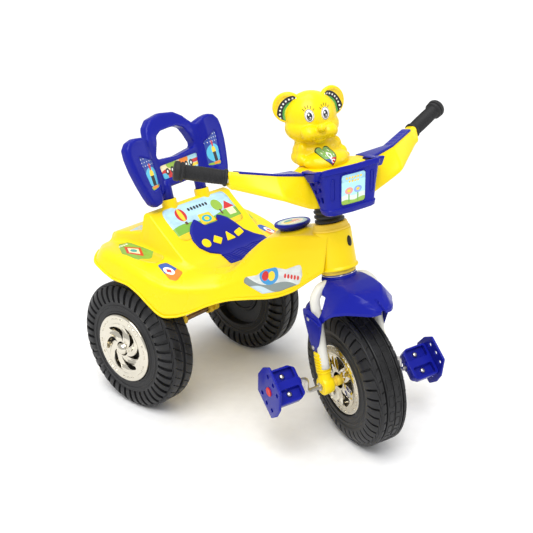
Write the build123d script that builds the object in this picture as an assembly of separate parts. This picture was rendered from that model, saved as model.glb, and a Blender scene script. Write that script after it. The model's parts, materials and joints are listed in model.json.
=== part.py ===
from build123d import *
import math
import os

# Children's tricycle with a blow-moulded body, raked steering and a directly driven front wheel.
# Millimetres. +Z is up, -Y is forward and +X is the rider's left. The origin is on the floor, on
# the body's centre plane, midway between the front and rear axles.
# The steered parts are modelled with the handlebar straight and then turned to STEER_REST, the
# angle at which the tricycle is parked.

# ---- driving dimensions ----
WHEELBASE = 384.0
FRONT_AXLE_Y = -WHEELBASE / 2
REAR_AXLE_Y = WHEELBASE / 2
FRONT_TYRE_R = 125.0
REAR_TYRE_R = 123.5
TYRE_HALF_W = 34.0
REAR_TRACK = 310.0

RAKE = 14.2             # the steering axis leans back at its top, degrees
AXIS_TRAIL = 8.0        # the axis passes this far in front of the front hub
STEER_REST = -23.0      # parked steering angle, towards the rider's right, degrees
LEAN_AT_REST = 5.4      # lean of the turned front wheel, degrees

HEAD_R = 33.0           # the body's head column and what runs in it, heights along the axis
HEAD_BORE_R = 20.0
HEAD_LOW = 200.0
HEAD_HIGH = 267.0
STEM_R = 14.0
RUNNING_GAP = 0.06

AXLE_R = 5.0            # rear axle rod
CRANK_ROD_R = 4.0       # bent crank rod of the front wheel
CRANK_THROW = 30.0
CRANK_LEAD = 8.0        # how far the upper crank is tipped forward of vertical, degrees
PEDAL_TILT = 42.0       # pedal's tread falls forward by this angle, degrees
PEDAL_IN = 113.0
PEDAL_OUT = 165.0

LEG_R = 8.0             # fork legs
LEG_X = 58.5
WALL = 3.5              # moulded wall

TREAD_FLAT = 12.0
FRONT_HUB_Z = (FRONT_TYRE_R * math.cos(math.radians(LEAN_AT_REST))
               + TREAD_FLAT * math.sin(math.radians(LEAN_AT_REST)))
AXIS_LOW = Vector(0, FRONT_AXLE_Y - AXIS_TRAIL, FRONT_HUB_Z)
AXIS_DIR = Vector(0, math.sin(math.radians(RAKE)), math.cos(math.radians(RAKE)))
STEER_AXIS = Axis(AXIS_LOW, AXIS_DIR)
HEAD_PLANE = Plane(origin=AXIS_LOW, x_dir=(1, 0, 0), z_dir=AXIS_DIR)
SIDES = {"right": -1, "left": 1}

os.makedirs("parts", exist_ok=True)


# ---- helpers ----
def save(name, shape):
    """Write one named sub-part."""
    shape.label = name
    export_step(shape, f"parts/{name}.step")


def save_steered(name, shape):
    """Turn a straight-ahead piece to the parked steering angle and write it."""
    save(name, shape.rotate(STEER_AXIS, STEER_REST))


def axis_point(height, x=0.0, back=0.0):
    """A point given by its height along the steering axis, x, and offset behind the axis."""
    return HEAD_PLANE.from_local_coords(Vector(x, back, height))


def on_axis(radius, low, high):
    """A cylinder about the steering axis between two heights."""
    return HEAD_PLANE * (Pos(0, 0, low) * Cylinder(radius, high - low, align=BOTTOM))


def ring_on_axis(outer, inner, low, high):
    """A tube about the steering axis between two heights."""
    return on_axis(outer, low, high) - on_axis(inner, low - 1, high + 1)


def along_x(radius, x_from, x_to, y, z):
    """A cylinder along X between two x positions."""
    length = abs(x_to - x_from)
    return Pos((x_from + x_to) / 2, y, z) * Rot(0, 90, 0) * Cylinder(radius, length)


def face_from(points):
    """A planar face through a closed list of points."""
    return make_face(Polyline(*points, close=True))


def mirrored_section(y, half):
    """Closed XZ section at one y, from the (x, z) points of its +X half, top centre first."""
    right = [(x, y, z) for x, z in half]
    left = [(-x, y, z) for x, z in reversed(half) if x > 0]
    return face_from(right + left)


def loft_sections(stations):
    """Ruled loft through (y, half outline) stations."""
    return loft([mirrored_section(y, half) for y, half in stations], ruled=True)


def about_x(profile):
    """Solid of revolution about X from (r, x) points."""
    face = face_from([(x, r, 0) for r, x in profile])
    return revolve(face, Axis.X)


BOTTOM = (Align.CENTER, Align.CENTER, Align.MIN)


# ---- body shell ----
# Each station: y, then (x, z) of the top edge, the foot of the tank or seat wedge, the fender's
# outer edge and the skirt's lower edge.
HULL = [
    (-150, 381, (28, 381), (33, 360), (35, 335), (38, 318)),
    (-97, 374, (40, 372), (48, 350), (54, 315), (60, 276)),
    (-67, 370, (45, 367), (57, 338), (66, 300), (74, 262)),
    (-27, 360, (45, 352), (64, 322), (80, 292), (92, 254)),
    (3, 330, (48, 324), (76, 300), (94, 282), (108, 248)),
    (33, 290, (60, 290), (92, 284), (118, 270), (130, 236)),
    (63, 284, (82, 284), (106, 281), (145, 268), (156, 219)),
    (93, 283, (97, 284), (110, 281), (165, 270), (178, 213)),
    (118, 294, (105, 296), (113, 287), (170, 275), (187, 228)),
    (148, 320, (107, 320), (115, 291), (173, 284), (190, 249)),
    (178, 347, (107, 347), (116, 295), (175, 293), (190, 257)),
    (198, 361, (107, 361), (116, 297), (176, 297), (190, 257)),
    (210, 361, (107, 361), (116, 297), (176, 298), (190, 257)),
]
TRUNK = [
    (206, 327, (113, 327), (117, 298), (176, 298), (190, 257)),
    (248, 319, (114, 319), (118, 297), (173, 298), (190, 267)),
    (278, 312, (114, 312), (117, 293), (160, 291), (176, 273)),
    (302, 304, (106, 303), (110, 286), (124, 283), (134, 275)),
]


def hull_stations(table):
    return [(y, [(0, top)] + list(points)) for y, top, *points in table]


def hollow_stations(table, first_y, last_y):
    """The table's cavity: walls inside the outer faces, open below the skirt."""
    stations = []
    for index, (y, top, edge, foot, fender, skirt) in enumerate(table):
        if index == 0:
            y = first_y
        if index == len(table) - 1:
            y = last_y
        stations.append((y, [
            (0, top - WALL), (edge[0] - WALL, edge[1] - WALL), (foot[0] - WALL, foot[1] - WALL),
            (fender[0] - WALL, fender[1] - WALL), (skirt[0] - WALL, skirt[1] - 0.5),
            (skirt[0] - WALL, 150.0)]))
    return stations


HANGER_TOP = 262.0
HANGER_BOLTS = [(x, y) for x in (-88.0, 88.0) for y in (REAR_AXLE_Y - 22, REAR_AXLE_Y + 2)]
POST_X = 43.8
POST_LEAN = 15.0
POST_FOOT_Y = 210.0
POST_R = 11.0
POST_GAP = 0.15
COLLAR_R = 14.0
BACK_SCREW_Z = -4.0
SEAT_TOP_Z = 361.0
CAP_Y = -52.0
CAP_Z = 371.0
CAP_TILT = 12.0
CAP_R = 32.0
CAP_PLUG_R = 26.0
BOSS_R = 9.0            # bosses that the axle hanger is screwed to
COLUMN_CLEAR_R = 27.0   # room under the head column for the lower bush's flange
PILOT_R = 1.85
POST_PLANE = Plane(origin=(0, POST_FOOT_Y, SEAT_TOP_Z + 6), x_dir=(1, 0, 0),
                   z_dir=(0, math.sin(math.radians(POST_LEAN)), math.cos(math.radians(POST_LEAN))))
CAP_PLANE = Plane(origin=(0, CAP_Y, CAP_Z), x_dir=(1, 0, 0),
                  z_dir=(0, math.sin(math.radians(CAP_TILT)), math.cos(math.radians(CAP_TILT))))


def make_body_shell():
    outer = loft_sections(hull_stations(HULL)) + loft_sections(hull_stations(TRUNK))
    outer += on_axis(HEAD_R, HEAD_LOW, HEAD_HIGH)
    for sign in (-1, 1):
        outer += POST_PLANE * Pos(sign * POST_X, 0, -16) * Cylinder(COLLAR_R, 22, align=BOTTOM)
    cavity = loft_sections(hollow_stations(HULL, -104.0, 206.4))
    cavity += loft_sections(hollow_stations(TRUNK, 205.0, 298.5))
    shell = outer - (cavity - on_axis(HEAD_R, 0, HEAD_HIGH + 50))
    for x, y in HANGER_BOLTS:
        shell += (Pos(x, y, HANGER_TOP) * Cylinder(BOSS_R, 120, align=BOTTOM)) & outer
    for sign in (-1, 1):
        socket = Pos(sign * POST_X, 0, -44)
        shell += (POST_PLANE * socket * Cylinder(COLLAR_R, 34, align=BOTTOM)) & outer
        shell -= POST_PLANE * Pos(sign * POST_X, 0, -40) * Cylinder(POST_R, 60, align=BOTTOM)
    shell -= on_axis(HEAD_BORE_R, HEAD_LOW - 30, HEAD_HIGH + 20)
    shell -= on_axis(COLUMN_CLEAR_R, HEAD_LOW - 60, HEAD_LOW)
    shell -= make_head_plug()
    for sign in (-1, 1):
        shell -= back_screw_hole(sign)
    shell -= CAP_PLANE * Pos(0, 0, -20) * Cylinder(CAP_PLUG_R + 0.2, 40, align=BOTTOM)
    for x, y in HANGER_BOLTS:
        shell -= Pos(x, y, HANGER_TOP - 1) * Cylinder(2.5, 25, align=BOTTOM)
    return shell


def back_screw_hole(sign):
    """Pilot hole through the back of one collar and into the post."""
    hole = Rot(-90, 0, 0) * Cylinder(PILOT_R, 14, align=BOTTOM)
    return POST_PLANE * Pos(sign * POST_X, 4, BACK_SCREW_Z) * hole


def make_head_plug():
    """Oval plug set into the front of the body's head column."""
    plug = extrude(Plane.XZ * Ellipse(5, 9), 4)
    front = axis_point(246, 0, -HEAD_R)
    return Pos(front.X, front.Y + 2.5, front.Z) * Rot(-RAKE, 0, 0) * plug


# ---- seat, tank cap, backrest ----
def seat_outline(z):
    """Plan outline of the moulded seat insert at one height: the notch is at the back."""
    half = [(0, 152), (31, 168), (44, 158), (48, 130), (45, 100), (43, 44), (0, 38)]
    points = [(x, y, z) for x, y in half]
    points += [(-x, y, z) for x, y in reversed(half) if x > 0]
    return face_from(points)


def make_seat_insert():
    """Skin that lies on the wedge's slope and on the seat pan, 3 mm thick."""
    slab = extrude(seat_outline(250), 120, dir=(0, 0, 1))
    upper = loft_sections([(y, [(0, top + 3.4), (edge[0] + 20, edge[1] + 3.4),
                                (edge[0] + 20, edge[1] + 0.4), (0, top + 0.4)])
                           for y, top, edge, *rest in HULL[5:11]])
    return slab & upper


def make_tank_cap():
    lid = Cylinder(CAP_R, 6, align=BOTTOM)
    lid = fillet(lid.edges().group_by(Axis.Z)[-1], 2)
    plug = Pos(0, 0, -12) * (Cylinder(CAP_PLUG_R, 12, align=BOTTOM)
                             - Cylinder(CAP_PLUG_R - 2.5, 12, align=BOTTOM))
    return CAP_PLANE * Pos(0, 0, 1.2) * (lid + plug)


BACK_OUTLINE = [(0, 30), (36, 31), (50, 28), (68, 18), (80, 11), (92, 9), (101, 16), (107, 30),
                (114, 55), (119, 80), (121, 105), (119, 120), (110, 130), (97, 134), (80, 132),
                (66, 126), (60, 121), (46, 144), (31, 156), (0, 161)]
BACK_HOLE = [(0, 80), (48, 85), (51, 92), (42, 112), (36, 126), (22, 133), (0, 134)]
BACK_DEPTHS = [     # x, then (s, front depth): the arch leans back and the wings come forward
    (0, [(0, -7), (118, -7), (165, 7)]),
    (52, [(0, -7), (118, -7), (165, 7)]),
    (82, [(0, -23), (118, -17), (165, -12)]),
    (124, [(0, -25), (118, -16), (165, -12)]),
]
BACK_THICK = 21.0
BACK_ROLL = 3.5         # the panel sits crooked on its posts, its left side higher, degrees
BACK_ROLL_S = 30.0
POST_TOP = 37.0


def back_layer(extra):
    """Wavy slab, one backrest thick, that the panel's outline is cut from."""
    rows = [(-x, depths) for x, depths in reversed(BACK_DEPTHS) if x > 0] + BACK_DEPTHS
    faces = []
    for x, depths in rows:
        points = [(x, depth - extra, s) for s, depth in depths]
        points += [(x, depth + BACK_THICK + extra, s) for s, depth in reversed(depths)]
        faces.append(face_from(points))
    return loft(faces, ruled=True)


def make_backrest():
    """Bow-tie shaped panel with a grab handle and two round posts."""
    def outline(half):
        flat = [(x, s) for x, s in half] + [(-x, s) for x, s in reversed(half) if x > 0]
        return face_from([(x, 0, s) for x, s in flat])
    panel = extrude(outline(BACK_OUTLINE), 2 * BACK_THICK, both=True) & back_layer(0)
    panel -= extrude(outline(BACK_HOLE), 2 * BACK_THICK, both=True)
    panel = Pos(0, 0, BACK_ROLL_S) * Rot(0, -BACK_ROLL, 0) * Pos(0, 0, -BACK_ROLL_S) * panel
    for sign in (-1, 1):
        panel += Pos(sign * POST_X, 0, -38) * Cylinder(POST_R - POST_GAP, 38 + POST_TOP,
                                                       align=BOTTOM)
    backrest = POST_PLANE * panel
    for sign in (-1, 1):
        backrest -= back_screw_hole(sign)
    return backrest


def make_backrest_screws():
    """Two screws through the back of the collars into the posts."""
    screws = []
    for sign in (-1, 1):
        shank = Rot(-90, 0, 0) * Cylinder(1.8, 9, align=BOTTOM)
        head = Pos(0, 8.8, 0) * Rot(-90, 0, 0) * Cylinder(3.6, 2.2, align=BOTTOM)
        screws.append(POST_PLANE * Pos(sign * POST_X, 5.4, BACK_SCREW_Z) * (shank + head))
    return Compound(screws)


# ---- rear axle ----
HANGER_X = 45.0
HANGER_T = 4.0


def make_axle_hanger():
    """Painted steel cross plate with two gussets that carry the rear axle."""
    low_z = REAR_TYRE_R
    plate = Pos(0, REAR_AXLE_Y - 10, HANGER_TOP - 2) * Box(200, 50, 4)
    hanger = plate
    for sign in (-1, 1):
        gusset = face_from([(sign * HANGER_X, REAR_AXLE_Y - 35, HANGER_TOP - 3),
                            (sign * HANGER_X, REAR_AXLE_Y + 15, HANGER_TOP - 3),
                            (sign * HANGER_X, REAR_AXLE_Y + 13, low_z),
                            (sign * HANGER_X, REAR_AXLE_Y, low_z - 13),
                            (sign * HANGER_X, REAR_AXLE_Y - 13, low_z)])
        hanger += extrude(gusset, HANGER_T / 2, dir=(1, 0, 0), both=True)
        hanger += along_x(9, sign * (HANGER_X - 14), sign * (HANGER_X + 14), REAR_AXLE_Y, low_z)
    hanger -= along_x(AXLE_R, -80, 80, REAR_AXLE_Y, low_z)
    for x, y in HANGER_BOLTS:
        hanger -= Pos(x, y, HANGER_TOP - 10) * Cylinder(2.6, 20, align=BOTTOM)
    return hanger


def make_hanger_screws():
    screws = []
    for x, y in HANGER_BOLTS:
        head = Pos(x, y, HANGER_TOP - 8) * Cylinder(5, 4, align=BOTTOM)
        screws.append(head + Pos(x, y, HANGER_TOP - 5) * Cylinder(2.45, 24, align=BOTTOM))
    return Compound(screws)


AXLE_HALF = REAR_TRACK / 2 + 38.0
HUB_IN = 24.0
HUB_OUT = 27.0
BUSH_R = 9.0


def make_rear_axle():
    return along_x(AXLE_R, -AXLE_HALF, AXLE_HALF, REAR_AXLE_Y, REAR_TYRE_R)


def make_axle_spacers():
    """Tube on each side of the axle between the hanger's boss and the wheel."""
    tubes = []
    for sign in (-1, 1):
        start = sign * (HANGER_X + 14.5)
        end = sign * (REAR_TRACK / 2 - HUB_IN - 2.6)
        tube = along_x(8, start, end, REAR_AXLE_Y, REAR_TYRE_R)
        tubes.append(tube - along_x(AXLE_R, -AXLE_HALF, AXLE_HALF, REAR_AXLE_Y, REAR_TYRE_R))
    return Compound(tubes)


def make_lock_caps():
    """Push-on domed retainers at the two ends of the rear axle."""
    caps = []
    for sign in (-1, 1):
        start = sign * (REAR_TRACK / 2 + HUB_OUT + 2.6)
        caps.append(along_x(9, start, sign * (AXLE_HALF + 1.5), REAR_AXLE_Y, REAR_TYRE_R)
                    - along_x(AXLE_R, 0, sign * AXLE_HALF, REAR_AXLE_Y, REAR_TYRE_R))
    return Compound(caps)


# ---- wheels ----
def wheel_moulding(tyre_r, recess_r, bore_r, deep_side):
    """One-piece moulded tyre, webs and hub about X. The recess for a cap is on +X, and on -X too
    unless deep_side is set, which leaves the deep plain recess of a wheel with one cap."""
    half = TYRE_HALF_W
    back = 16.0 if deep_side else 22.0
    hub_back = HUB_IN if deep_side else HUB_OUT
    outer = [(bore_r, -hub_back), (17, -hub_back), (20, -back), (recess_r, -back),
             (recess_r, 2 - half), (recess_r + 5, -half), (105, -half), (118, -32),
             (tyre_r - 2, -26), (tyre_r, -TREAD_FLAT), (tyre_r, TREAD_FLAT), (tyre_r - 2, 26),
             (118, 32), (105, half), (recess_r + 5, half), (recess_r, half - 2),
             (recess_r, 22), (20, 22), (17, HUB_OUT), (bore_r, HUB_OUT)]
    inner = [(bore_r + 4, 4 - back), (recess_r + 3, 4 - back), (recess_r + 6, 5 - half),
             (104, 5 - half), (114, -28), (119, -TREAD_FLAT), (119, TREAD_FLAT), (114, 28),
             (104, half - 5), (recess_r + 6, half - 5), (recess_r + 3, 18), (bore_r + 4, 18)]
    wheel = about_x(outer) - about_x(inner)
    vent = along_x(2, -back - 3, 6 - back, 0, 0)
    return wheel - Pos(0, 42, 0) * vent


def hubcap(radius, dome_r, front_x, dome_x, back_x, spokes):
    """Chromed cap: rim ring, curved-look spokes and a centre dome, open between the spokes."""
    rim = about_x([(radius - 11, back_x + 4), (radius - 0.8, back_x + 4), (radius, front_x - 2),
                   (radius - 1.5, front_x), (radius - 9, front_x), (radius - 11, front_x - 3)])
    dome = about_x([(0, dome_x - 4), (0, dome_x), (dome_r * 0.6, dome_x - 1), (dome_r, dome_x - 5),
                    (dome_r + 4, front_x - 1.5), (dome_r + 4, front_x - 6), (dome_r, front_x - 6),
                    (dome_r - 2, dome_x - 8)])
    cap = rim + dome
    spoke = Pos(front_x - 3.8, 0, (radius - 6 + dome_r) / 2) * Box(4.4, 12, radius - dome_r - 4)
    for index in range(spokes):
        cap += Rot(index * 360 / spokes, 0, 0) * spoke
    return cap


REAR_CAP_R = 66.4
FRONT_CAP_R = 64.9
REAR_CAP_X = 39.8
FRONT_CAP_X = 33.8
REAR_DOME_X = 49.0


def place_rear(shape, sign):
    """Put a wheel piece modelled about X, cap side to +X, at one end of the rear axle."""
    turned = shape if sign > 0 else shape.rotate(Axis.Z, 180)
    return Pos(sign * REAR_TRACK / 2, REAR_AXLE_Y, REAR_TYRE_R) * turned


def make_rear_wheel(sign):
    return place_rear(wheel_moulding(REAR_TYRE_R, REAR_CAP_R + 0.1, BUSH_R, True), sign)


def make_rear_hubcap(sign):
    return place_rear(hubcap(REAR_CAP_R, 14, REAR_CAP_X, REAR_DOME_X, 23.0, 6), sign)


def make_rear_bushes(sign):
    """Flanged plastic bushes pressed into the two ends of the hub."""
    bushes = []
    for end, reach in ((HUB_OUT, 2.4), (-HUB_IN, -2.4)):
        inward = end - math.copysign(16, end)
        sleeve = along_x(BUSH_R, inward, end, 0, 0) + along_x(13, end, end + reach, 0, 0)
        bushes.append(sleeve - along_x(AXLE_R + RUNNING_GAP, -40, 40, 0, 0))
    return place_rear(Compound(bushes), sign)


# ---- front wheel, crank and pedals, modelled straight ahead ----
def at_front_hub(shape):
    return Pos(0, FRONT_AXLE_Y, FRONT_HUB_Z) * shape


KNUCKLE_IN = 48.0
KNUCKLE_OUT = 68.0


def make_front_wheel():
    return at_front_hub(wheel_moulding(FRONT_TYRE_R, FRONT_CAP_R + 0.1, CRANK_ROD_R, False))


def make_front_hubcap(sign):
    cap = hubcap(FRONT_CAP_R, 13, FRONT_CAP_X, 37.0, 22.2, 5)
    cap -= along_x(9.1, 0, 60, 0, 0)
    return at_front_hub(cap if sign > 0 else cap.rotate(Axis.Z, 180))


def crank_offset(sign):
    """The crank pin's offset from the hub: up on the rider's right, down on the left."""
    lead = math.radians(CRANK_LEAD)
    return Vector(0, sign * CRANK_THROW * math.sin(lead), -sign * CRANK_THROW * math.cos(lead))


CRANK_ARM_X = 97.0
PIN_END = 169.0


def make_crank_axle():
    """One bent rod: through axle, two short arms and two pedal pins."""
    points = []
    for sign in (-1, 1):
        offset = crank_offset(sign)
        ends = [(sign * CRANK_ARM_X, 0, 0), (sign * CRANK_ARM_X, offset.Y, offset.Z),
                (sign * PIN_END, offset.Y, offset.Z)]
        points = list(reversed(ends)) if sign < 0 else points + ends
    return at_front_hub(tube_along(FilletPolyline(*points, radius=9), CRANK_ROD_R))


def make_hub_spacers():
    """Ribbed spacer on each side of the wheel, keyed to the crank rod."""
    spacers = []
    for sign in (-1, 1):
        tube = along_x(9, sign * (HUB_OUT + 0.2), sign * 40, 0, 0)
        tube += along_x(6.5, sign * 39, sign * (KNUCKLE_IN - 0.5), 0, 0)
        spacers.append(tube - along_x(CRANK_ROD_R, -60, 60, 0, 0))
    return at_front_hub(Compound(spacers))


def make_axle_rings():
    """Spring rings that keep the rod from sliding sideways in the knuckles."""
    rings = []
    for sign in (-1, 1):
        ring = along_x(7, sign * (KNUCKLE_OUT + 0.5), sign * (KNUCKLE_OUT + 4), 0, 0)
        rings.append(ring - along_x(CRANK_ROD_R, -90, 90, 0, 0))
    return at_front_hub(Compound(rings))


PEDAL_FRAME_X = (PEDAL_IN + PEDAL_OUT) / 2
PLATE_T = 4.5


def place_pedal(shape, sign):
    """Pedal pieces are modelled about X at x = 0, tread up, and tilted onto their crank pin."""
    tilted = shape.rotate(Axis.X, PEDAL_TILT)
    return at_front_hub(Pos(crank_offset(sign)) * Pos(sign * PEDAL_FRAME_X, 0, 0) * tilted)


def make_pedal(sign):
    """Tread block with two pockets, a centre rib over the pin, and a slotted outer guard."""
    half_x = (PEDAL_OUT - PEDAL_IN) / 2
    block = Box(2 * half_x, 66, 22)
    for side in (-1, 1):
        block -= Pos(0, side * 19, 8) * Box(2 * half_x - 8, 22, 16)
        block -= Pos(0, side * 19, -9) * Box(2 * half_x - 8, 22, 8)
    block += Rot(0, 90, 0) * Cylinder(9.5, 2 * half_x)
    guard_x = sign * (half_x + PLATE_T / 2 - 0.2)
    outline = [(-40, -16), (-26, -44), (26, -44), (40, -16), (40, 16), (26, 44), (-26, 44),
               (-40, 16)]
    guard = extrude(face_from([(guard_x, y, z) for y, z in outline]), PLATE_T / 2,
                    dir=(1, 0, 0), both=True)
    for row in (-1, 1):
        for column in (-1, 0, 1):
            hole = Pos(guard_x, column * 17, row * (25 - 4 * abs(column)))
            guard -= hole * Rot(0, 90, 0) * Cylinder(4, 10)
    pedal = block + guard - Rot(0, 90, 0) * Cylinder(CRANK_ROD_R + RUNNING_GAP, 90)
    for side in (-1, 1):
        pedal -= Pos(0, side * 19, 0) * Cylinder(1.65, 20)
    return place_pedal(pedal, sign)


def make_pedal_screws(sign):
    screws = []
    for side in (-1, 1):
        head = Pos(0, side * 19, 0) * (Cylinder(4.2, 2.6, align=BOTTOM))
        screws.append(head + Pos(0, side * 19, -3.6) * Cylinder(1.6, 4, align=BOTTOM))
    return place_pedal(Compound(screws), sign)


def make_pedal_disc(sign):
    """Round reflector cap over the end of the crank pin."""
    start = PEDAL_OUT - PEDAL_FRAME_X + PLATE_T - 0.2
    return place_pedal(along_x(8, sign * start, sign * (start + 2.5), 0, 0), sign)


# ---- fork and mudguard ----
CROWN_LOW = 172.0
CROWN_HIGH = 185.0
LEG_END = 30.0
SOCKET_TOP = 62.0


def leg_path(sign):
    points = [axis_point(CROWN_LOW + 6, sign * 12), axis_point(CROWN_LOW + 2, sign * 34),
              axis_point(CROWN_LOW - 36, sign * 55), axis_point(88, sign * LEG_X),
              axis_point(LEG_END, sign * LEG_X)]
    return FilletPolyline(*points, radius=24)


def tube_along(path, radius):
    start = Plane(origin=path @ 0, z_dir=path % 0)
    return sweep(start * Circle(radius), path=path)


def make_fork():
    fork = HEAD_PLANE * Pos(0, 0, CROWN_LOW) * Box(44, 34, CROWN_HIGH - CROWN_LOW, align=BOTTOM)
    for sign in (-1, 1):
        fork += tube_along(leg_path(sign), LEG_R)
    return fork - on_axis(STEM_R, CROWN_LOW - 5, CROWN_HIGH + 5)


def make_knuckle(sign):
    """Ribbed socket on the fork leg with a round boss that carries the crank rod."""
    socket_base = axis_point(8, sign * LEG_X)
    plane = Plane(origin=socket_base, x_dir=(1, 0, 0), z_dir=AXIS_DIR)
    knuckle = plane * Cylinder(11, SOCKET_TOP - 8, align=BOTTOM)
    for index in range(5):
        knuckle += plane * Pos(0, 0, 26 + 6 * index) * Cylinder(12.5, 3.4, align=BOTTOM)
    knuckle += along_x(16.5, sign * KNUCKLE_IN, sign * KNUCKLE_OUT, FRONT_AXLE_Y, FRONT_HUB_Z)
    knuckle -= plane * Pos(0, 0, LEG_END - 8) * Cylinder(LEG_R, 80, align=BOTTOM)
    return knuckle - along_x(CRANK_ROD_R + RUNNING_GAP, -90, 90, FRONT_AXLE_Y, FRONT_HUB_Z)


GUARD = [   # y, crown z, shoulder (x, z), lower edge (x, z)
    (-289, 299, (14, 299), (22, 295)),
    (-272, 307, (24, 304), (35, 294)),
    (-251, 312, (30, 308), (47, 291)),
    (-226, 314, (34, 310), (56, 281)),
    (-192, 313, (38, 308), (64, 253)),
    (-170, 308, (40, 302), (67, 240)),
    (-147, 296, (42, 288), (67, 238)),
    (-128, 278, (42, 270), (62, 246)),
]
GUARD_WALL = 2.5
STRAP_X = 68.4
STRAP = [(-204, 252), (-146, 252), (-148, 238), (-154, 212), (-160, 192), (-168, 182),
         (-178, 182), (-186, 196), (-197, 228)]
GUARD_SCREWS = [(-163, 245), (-170, 192)]


def make_mudguard():
    """Arched hood over the wheel with a strap down the outside of each fork leg."""
    outer = loft_sections([(y, [(0, crown), shoulder, edge, (edge[0], edge[1] - 1)])
                           for y, crown, shoulder, edge in GUARD])
    inner = loft_sections([
        (y, [(0, crown - GUARD_WALL), (shoulder[0] - 2, shoulder[1] - GUARD_WALL),
             (edge[0] - GUARD_WALL, edge[1] - 0.5), (edge[0] - GUARD_WALL, 150)])
        for y, crown, shoulder, edge in
        [(GUARD[0][0] - 2, *GUARD[0][1:])] + GUARD[1:-1] + [(GUARD[-1][0] + 2, *GUARD[-1][1:])]])
    guard = outer - inner
    for sign in (-1, 1):
        strap = face_from([(sign * STRAP_X, y, z) for y, z in STRAP])
        guard += extrude(strap, 1.25, dir=(1, 0, 0), both=True)
        bridge = Pos(sign * (STRAP_X - 3), -174, 248) * Box(8.5, 54, 7)
        guard += bridge
    for sign in (-1, 1):
        guard -= tube_along(leg_path(sign), LEG_R + 0.6)
    guard += ring_on_axis(27, STEM_R + 0.3, CROWN_HIGH + 0.3, CROWN_HIGH + 3)
    guard -= on_axis(STEM_R + 0.3, 150, 260)
    guard -= on_axis(60, CROWN_HIGH + 3, 260)
    guard -= HEAD_PLANE * Pos(0, 0, CROWN_LOW - 20) * Box(46, 36, CROWN_HIGH - CROWN_LOW + 20.2,
                                                          align=BOTTOM)
    solids = sorted(guard.solids(), key=lambda solid: solid.volume)
    return solids[-1]


def make_mudguard_screws():
    screws = []
    for sign in (-1, 1):
        for y, z in GUARD_SCREWS:
            face_x = STRAP_X + 1.3
            screws.append(along_x(3.5, sign * face_x, sign * (face_x + 2), y, z))
    return Compound(screws)


# ---- steering column and handlebar ----
BAR_CENTRE_H = 352.0


def make_bush(flange_r, flange_low, flange_high, spigot_low, spigot_high):
    bush = on_axis(flange_r, flange_low, flange_high)
    bush += on_axis(HEAD_BORE_R - 0.03, spigot_low, spigot_high)
    return bush - on_axis(STEM_R + RUNNING_GAP, spigot_low - 60, spigot_high + 60)


def make_steering_ring():
    return ring_on_axis(24.5, STEM_R, CROWN_HIGH + 3.2, HEAD_LOW - 8.4)


def make_stem_collar():
    collar = ring_on_axis(22, STEM_R, HEAD_HIGH + 11.3, HEAD_HIGH + 50)
    for index in range(3):
        low = HEAD_HIGH + 11.3 + index * 8
        collar += ring_on_axis(25, STEM_R, low, low + 5)
    return collar


def make_steering_tube():
    return ring_on_axis(STEM_R, 11.5, CROWN_LOW, BAR_CENTRE_H - 10)


BAR_R = 8.0
GRIP_GAP = 8.0         # the grip starts this far out from the cover's tip
GRIP_IN = Vector(175, -124, 513)
GRIP_END = Vector(249, -92.5, 534)
BAR_SECTIONS = [    # x, front lower, front upper, rear upper, rear lower, each (y, z)
    (0, (-182, 441), (-168, 500), (-76, 499), (-86, 446)),
    (58, (-181, 447), (-167, 504), (-120, 500), (-112, 450)),
    (108, (-195, 474), (-161, 513), (-132, 509), (-146, 480)),
    (172, (-140, 493), (-131, 527), (-106, 526), (-112, 495)),
]


def bar_loft(shrink, sign, x_end):
    """One side of the handlebar cover, from the centre to its tip."""
    faces = []
    for x, *corners in BAR_SECTIONS:
        mid_y = sum(y for y, z in corners) / 4
        mid_z = sum(z for y, z in corners) / 4
        reach = x_end if x == BAR_SECTIONS[-1][0] else x
        points = []
        for y, z in corners:
            points.append((sign * reach, y - math.copysign(shrink, y - mid_y),
                           z - math.copysign(shrink, z - mid_z)))
        faces.append(face_from(points))
    return loft(faces, ruled=True)


def make_handlebar_cover():
    """Hollow wing-shaped cover in one piece."""
    cover = bar_loft(0, 1, 172) + bar_loft(0, -1, 172)
    cover -= bar_loft(WALL, 1, 169) + bar_loft(WALL, -1, 169)
    cover -= on_axis(STEM_R + 0.05, 280, BAR_CENTRE_H - 9)
    for sign in (-1, 1):
        cover -= basket_screw(sign, 1.9, 12)
    return cover - tube_along(bar_path(), BAR_R + 0.1)


def bar_path():
    """Centreline of the handlebar tube: level at the stem, swept forward, then out and back."""
    top = axis_point(BAR_CENTRE_H - 2)
    bend = Vector(112, -160, 496)
    points = [Vector(-GRIP_END.X, GRIP_END.Y, GRIP_END.Z), Vector(-GRIP_IN.X, GRIP_IN.Y, GRIP_IN.Z),
              Vector(-bend.X, bend.Y, bend.Z), Vector(-30, top.Y, top.Z), Vector(30, top.Y, top.Z),
              bend, GRIP_IN, GRIP_END]
    return FilletPolyline(*points, radius=14)


def make_handlebar_tube():
    """Bent steel bar inside the cover, from grip end to grip end, welded to the stem."""
    return tube_along(bar_path(), BAR_R) - on_axis(STEM_R + 0.02, 250, BAR_CENTRE_H - 10)


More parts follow.
